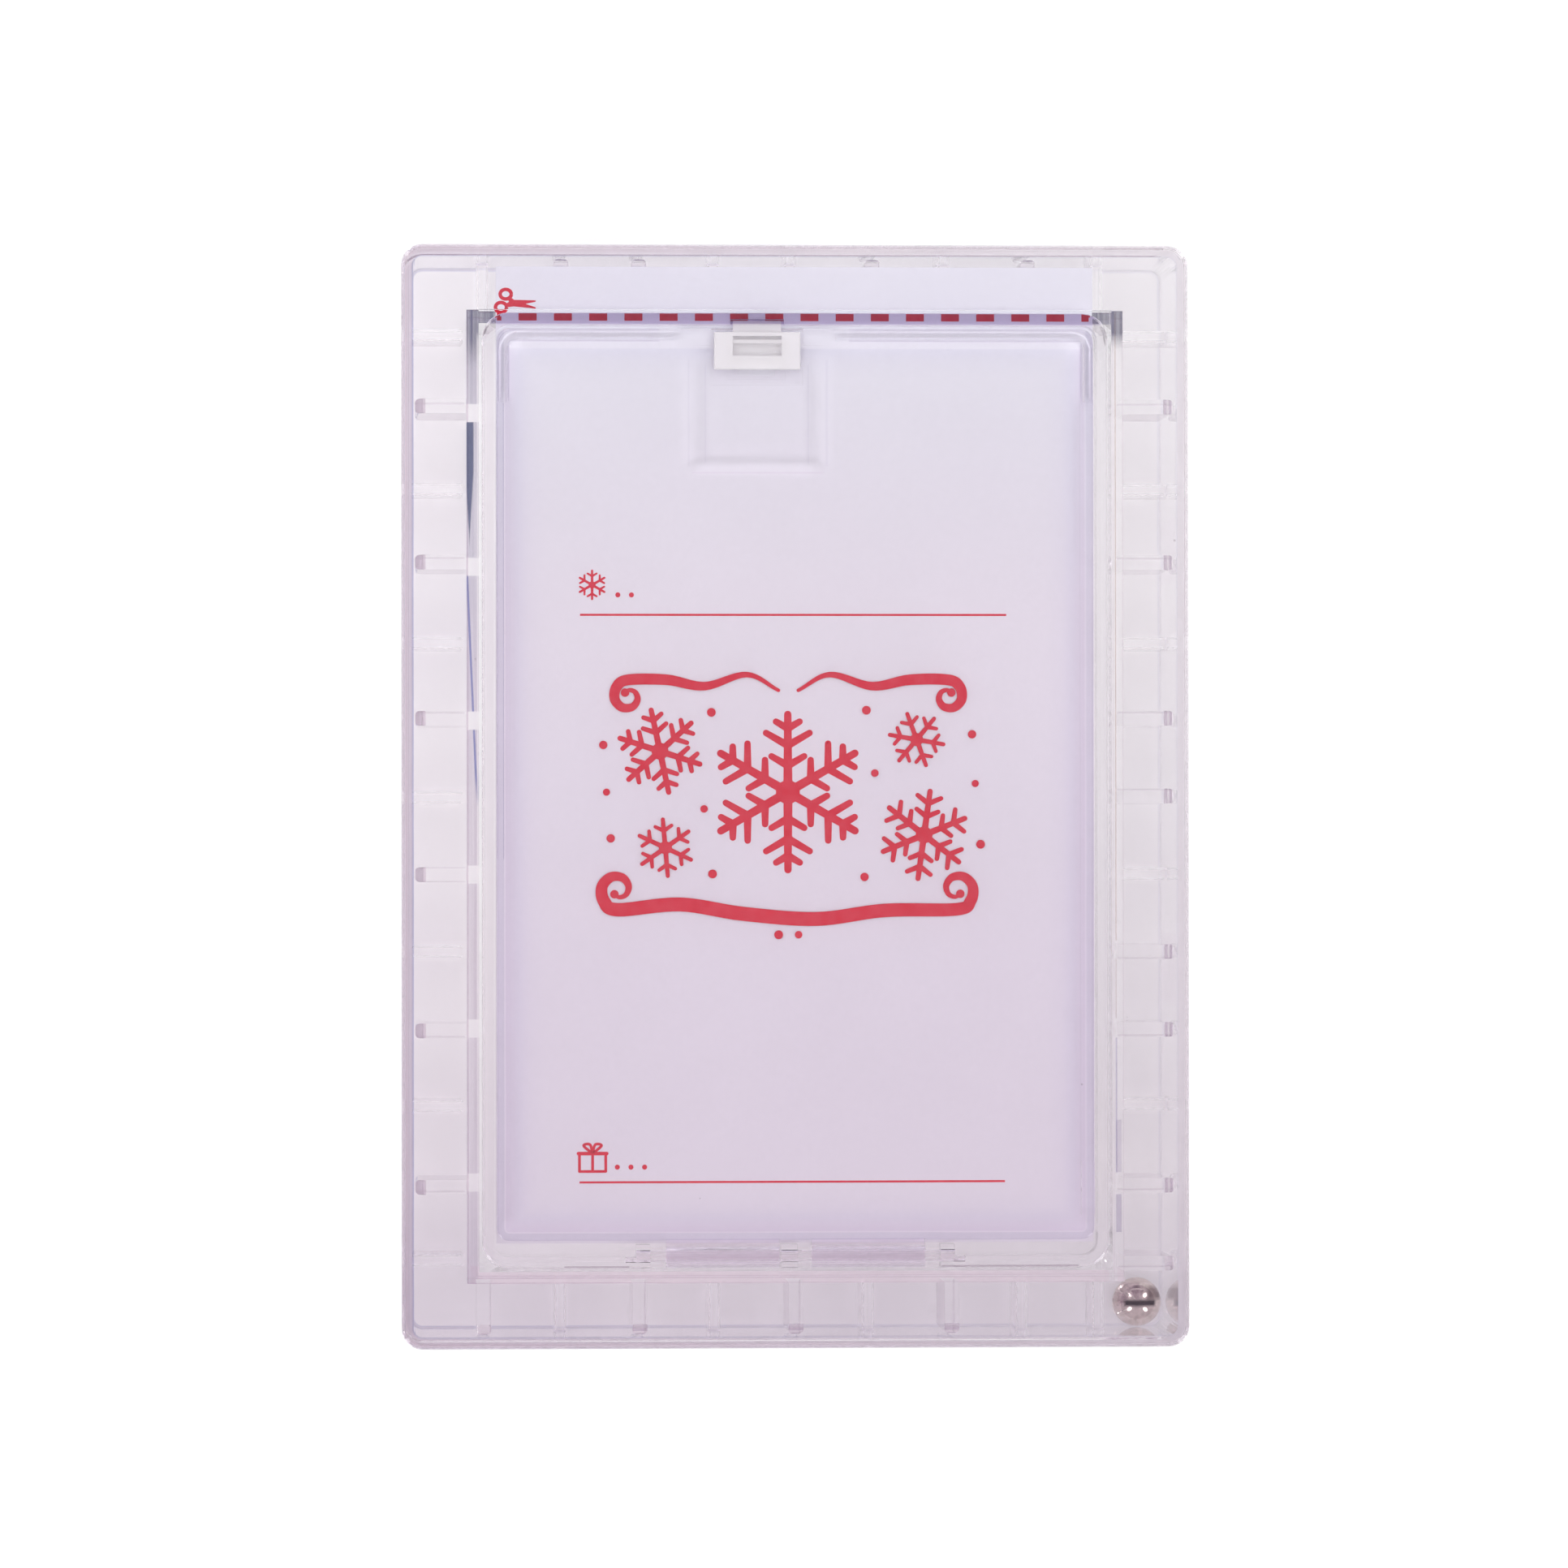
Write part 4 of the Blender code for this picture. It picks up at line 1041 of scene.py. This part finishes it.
redInk = inkFinish(inkLook)

finishOf = {
    "outer_case": caseFinish(caseLook),
    "maze_frame": frameFinish(frameLook),
    "card_tray": trayPlastic,
    "hinge_pin": pinPlastic,
    "card_door": doorPlastic,
    "latch": latchPlastic,
    "gift_tag": paperFinish(paperLook),
    "maze_ball": steelFinish(steelLook),
}
for nodeName, finish in finishOf.items():
    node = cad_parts[nodeName]
    node.data.materials.clear()
    node.data.materials.append(finish)
print("finishes set")


# Ball

ballSetup = {"rings": 96, "sides": 160}


def makeBall(setup):
    # p = c + r * (cos v cos u, cos v sin u, sin v); u runs round, v from pole to pole
    low, high = (np.array(corner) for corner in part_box("maze_ball"))
    centre = (low + high) / 2
    radius = (high - low).min() / 2
    rings, sides = setup["rings"], setup["sides"]
    u = np.linspace(0, 2 * np.pi, sides, endpoint=False)
    v = np.linspace(-np.pi / 2, np.pi / 2, rings + 1)[1:-1, None]
    grid = np.stack([np.cos(v) * np.cos(u), np.cos(v) * np.sin(u), np.sin(v) + 0 * u], axis=-1)
    points = np.vstack([grid.reshape(-1, 3), [[0, 0, -1], [0, 0, 1]]]) * radius + centre
    i, j = np.meshgrid(np.arange(rings - 2), np.arange(sides), indexing="ij")
    k = (j + 1) % sides
    quads = np.stack([i * sides + j, i * sides + k, (i + 1) * sides + k, (i + 1) * sides + j], -1)
    circle = np.arange(sides)
    after = (circle + 1) % sides
    last = (rings - 2) * sides
    foot = np.column_stack([after, circle, np.full(sides, last + sides)])
    head = np.column_stack([last + circle, last + after, np.full(sides, last + sides + 1)])
    mesh = bpy.data.meshes.new("steelBall")
    mesh.from_pydata(points.tolist(), [], quads.reshape(-1, 4).tolist() + foot.tolist() + head.tolist())
    mesh.shade_smooth()
    mesh.materials.append(finishOf["maze_ball"])
    ball = bpy.data.objects.new("steelBall", mesh)
    bpy.context.scene.collection.objects.link(ball)
    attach(ball, "ball")
    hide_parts("maze_ball")
    return ball


makeBall(ballSetup)
print("ball made")


# Print on the tag

tagPrint = {
    "height": 17.856,                 # mm; just clear of the card's face
    "step": 0.0004,                   # mm between strokes that cross
    "rules": ((-20.5, 20.2, 17.30), (-20.6, 20.0, -36.74)),
    "ruleWidth": 0.20,
    "dashes": (-28.40, 28.13),
    "dashStart": -29.69,
    "dashY": 45.7,
    "dashLength": 1.72,
    "dashPitch": 3.36,
    "dashWidth": 0.75,
}


class Ink:
    # flat shapes gathered into one mesh, each a little above the one before

    def __init__(self, height, step):
        self.points = []
        self.faces = []
        self.height = height
        self.step = step

    def add(self, points, faces):
        first = sum(len(p) for p in self.points)
        level = self.height + self.step * len(self.points)
        flat = np.column_stack([points, np.full(len(points), level)])
        self.points.append(flat)
        self.faces += [tuple(int(i) + first for i in face) for face in faces]

    def stroke(self, path, width):
        # a ribbon: each side is path -+ normal * width / 2, the normal square to the path
        path = np.asarray(path, float)
        width = np.broadcast_to(np.asarray(width, float), (len(path),))
        way = np.gradient(path, axis=0)
        way /= np.maximum(np.linalg.norm(way, axis=1, keepdims=True), 1e-9)
        side = np.column_stack([-way[:, 1], way[:, 0]]) * width[:, None] / 2
        n = len(path)
        faces = [(i, i + 1, n + i + 1, n + i) for i in range(n - 1)]
        self.add(np.vstack([path - side, path + side]), faces)

    def disc(self, centre, radius, sides=28):
        # points at centre + radius * (cos a, sin a)
        a = np.linspace(0, 2 * np.pi, sides, endpoint=False)
        self.add(np.array(centre) + radius * np.column_stack([np.cos(a), np.sin(a)]), [range(sides)])

    def line(self, path, width):
        # a stroke with round ends
        path = np.asarray(path, float)
        width = np.broadcast_to(np.asarray(width, float), (len(path),))
        self.stroke(path, width)
        self.disc(path[0], width[0] / 2, 16)
        self.disc(path[-1], width[-1] / 2, 16)

    def shape(self, outline):
        self.add(np.asarray(outline, float), [range(len(outline))])

    def build(self, name, finish):
        mesh = bpy.data.meshes.new(name)
        mesh.from_pydata((np.vstack(self.points) * mm).tolist(), [], self.faces)
        mesh.materials.append(finish)
        thing = bpy.data.objects.new(name, mesh)
        bpy.context.scene.collection.objects.link(thing)
        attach(thing, "case")
        return thing


def newInk():
    return Ink(tagPrint["height"], tagPrint["step"])


def tagRules():
    ink = newInk()
    for left, right, y in tagPrint["rules"]:
        ink.stroke([(left, y), (right, y)], tagPrint["ruleWidth"])
    first, last = tagPrint["dashes"]
    y = tagPrint["dashY"]
    for x in np.arange(tagPrint["dashStart"], last, tagPrint["dashPitch"]):
        near, far = max(x, first), min(x + tagPrint["dashLength"], last)
        ink.stroke([(near, y), (far, y)], tagPrint["dashWidth"])
    return ink.build("tagRules", redInk)


tagRules()
print("rules printed")


def smooth(points, steps=14):
    # a cubic through the points, for each span b..c between a and d:
    # p(t) = (2b + (c-a)t + (2a-5b+4c-d)t^2 + (3b-a-3c+d)t^3) / 2
    p = np.asarray(points, float)
    p = np.vstack([2 * p[0] - p[1], p, 2 * p[-1] - p[-2]])
    a, b, c, d = (p[i:len(p) - 3 + i, None] for i in range(4))
    t = np.linspace(0, 1, steps, endpoint=False)[None, :, None]
    curve = (2 * b + (c - a) * t + (2 * a - 5 * b + 4 * c - d) * t**2 + (3 * b - a - 3 * c + d) * t**3) / 2
    return np.vstack([curve.reshape(-1, 2), p[-2]])


def swell(count, thin, thick, peak=0.5):
    # thin at both ends and thick at the peak: w = thin + (thick - thin) * sin(pi s)^1.5
    t = np.linspace(0, 1, count)
    s = np.where(t < peak, t / peak, 2 - (1 - t) / (1 - peak)) / 2
    return thin + (thick - thin) * np.abs(np.sin(np.pi * s)) ** 1.5


def spiral(centre, outer, inner, start, turn, count=9):
    # r falls evenly from outer to inner while the angle goes on from start through turn
    t = np.linspace(0, 1, count)[:, None]
    a = np.radians(start + turn * t)
    return np.array(centre) + (outer + (inner - outer) * t) * np.hstack([np.cos(a), np.sin(a)])


ornament = {
    # middle, arm length, turn in degrees, barbs as (place along the arm, length), stroke width
    "flakes": (
        ((-0.7, 0.4), 7.4, 0, ((0.34, 1.8), (0.60, 2.4), (0.82, 1.3)), 0.88),
        ((-12.9, 4.3), 4.0, 12, ((0.45, 1.3), (0.74, 1.0)), 0.62),
        ((12.3, -3.7), 4.2, -8, ((0.42, 1.2), (0.72, 1.3)), 0.62),
        ((11.6, 5.4), 2.6, 20, ((0.60, 0.9),), 0.48),
        ((-12.4, -4.9), 2.7, 5, ((0.60, 0.9),), 0.48),
    ),
    # each flourish: the spiral it starts from or None, points between, the spiral it ends in,
    # its thin and thick widths and where it is thickest
    "flourishes": (
        (((-16.9, -8.9), 1.9, 0.55, -90, -400), ((-11.0, -10.3), (-5.0, -11.2), (2.0, -11.7), (8.5, -10.9)),
         ((15.4, -8.9), 1.9, 0.55, -90, 400), 0.34, 1.35, 0.47),
        (None, ((-1.6, 10.1), (-4.6, 11.6), (-8.6, 10.5), (-12.2, 11.1)),
         ((-15.9, 9.5), 1.6, 0.50, 90, 400), 0.34, 1.05, 0.30),
        (None, ((0.3, 10.1), (3.3, 11.6), (7.3, 10.5), (10.9, 11.1)),
         ((14.6, 9.5), 1.6, 0.50, 90, -400), 0.34, 1.05, 0.30),
    ),
    "endShare": 1.2,                  # radius of a flourish's end against its thin width
    "dots": (
        ((-8.0, 8.0), 0.42), ((6.8, 8.2), 0.42), ((16.9, 5.9), 0.40), ((-18.3, 4.9), 0.40),
        ((-7.9, -7.4), 0.42), ((6.6, -7.7), 0.40), ((-17.6, -4.0), 0.40), ((17.7, -4.6), 0.42),
        ((-8.7, -1.2), 0.36), ((7.6, 2.2), 0.36), ((-1.6, -13.2), 0.42), ((0.3, -13.2), 0.36),
        ((-18.0, 0.4), 0.34), ((17.2, 1.2), 0.34),
    ),
}


# widths of a snowflake's parts against its stroke width
flakeShares = {"armTip": 0.8, "barb": 0.85, "barbTip": 0.7, "core": 1.3}


def snowflake(ink, middle, reach, turn, barbs, width):
    # six arms at turn + 60 k + 30 degrees, each barb leaning 60 degrees off its arm
    middle = np.array(middle)
    armTip, barb, barbTip, core = (width * share for share in flakeShares.values())
    for arm in range(6):
        way = np.radians(turn + 60 * arm + 30)
        along = np.array([np.cos(way), np.sin(way)])
        ink.line([middle, middle + along * reach], [width, armTip])
        for place, size in barbs:
            root = middle + along * reach * place
            for lean in (-1, 1):
                side = np.array([np.cos(way + lean * np.pi / 3), np.sin(way + lean * np.pi / 3)])
                ink.line([root, root + side * size], [barb, barbTip])
    ink.disc(middle, core)


def tagOrnament():
    ink = newInk()
    for flake in ornament["flakes"]:
        snowflake(ink, *flake)
    for first, between, last, thin, thick, peak in ornament["flourishes"]:
        parts = [np.array(between), spiral(*last)]
        if first:
            parts.insert(0, spiral(*first)[::-1])
        path = smooth(np.vstack(parts), 8)
        ink.line(path, swell(len(path), thin, thick, peak))
        ink.disc(path[-1], thin * ornament["endShare"])
        if first:
            ink.disc(path[0], thin * ornament["endShare"])
    for place, radius in ornament["dots"]:
        ink.disc(place, radius)
    return ink.build("tagOrnament", redInk)


tagOrnament()


marks = {
    "flake": ((-19.35, 20.15), 1.35, 0, ((0.62, 0.5),), 0.26),
    "flakeDots": ((-16.9, 19.2), (-15.6, 19.2)),
    "box": (-20.6, -35.7, 2.5, 1.7),   # left, foot, width and height of the present's box
    "boxDots": ((-17.0, -35.3), (-15.7, -35.3), (-14.4, -35.3)),
    "bow": ((0.85, 0.75), (0.25, 0.85)),     # from the box's head, to either side and up
    "lid": (0.1, 1.3),                 # how far it stands out, its width against the line's
    "dotRadius": 0.24,
    "line": 0.26,
}


def tagMarks():
    # a small snowflake by the upper rule and a small present by the lower one
    ink = newInk()
    snowflake(ink, *marks["flake"])
    left, foot, width, height = marks["box"]
    right, head, middle = left + width, foot + height, left + width / 2
    corners = [(left, foot), (right, foot), (right, head), (left, head), (left, foot)]
    for first, last in zip(corners, corners[1:]):
        ink.line([first, last], marks["line"])
    ink.line([(middle, foot), (middle, head)], marks["line"])
    past, share = marks["lid"]
    ink.line([(left - past, head), (right + past, head)], marks["line"] * share)
    for side in (-1, 1):
        loop = [(middle + side * x, head + y) for x, y in marks["bow"]]
        ink.line(smooth([(middle, head), *loop, (middle, head)]), marks["line"])
    for place in marks["flakeDots"] + marks["boxDots"]:
        ink.disc(place, marks["dotRadius"])
    return ink.build("tagMarks", redInk)


tagMarks()


scissors = {
    "loops": (((-27.55, 47.85), 0.46), ((-28.0, 46.60), 0.46)),
    "pivot": (-26.85, 47.0),
    "tips": ((-24.75, 46.55), (-24.75, 47.20)),
    "line": 0.34,
    "ringStretch": 1.15,
    "shankStart": 0.42,                # share of the way from a loop's middle to the pivot
    "bladeShare": 1.9,                 # a blade's width at the pivot against the line's
    "point": 0.14,
}


def tagScissors():
    # cut-here pictogram: two finger loops and two crossed blades
    ink = newInk()
    pivot = np.array(scissors["pivot"])
    a = np.linspace(0, 2 * np.pi, 33)
    for (centre, radius), tip in zip(scissors["loops"], scissors["tips"]):
        wide = np.cos(a) * scissors["ringStretch"]
        ring = np.array(centre) + radius * np.column_stack([wide, np.sin(a)])
        ink.stroke(ring, scissors["line"])
        start = np.array(centre) + (pivot - centre) * scissors["shankStart"]
        widths = [scissors["line"], scissors["line"] * scissors["bladeShare"], scissors["point"]]
        ink.line([start, pivot, np.array(tip)], widths)
    return ink.build("tagScissors", redInk)


tagScissors()
print("tag printed")
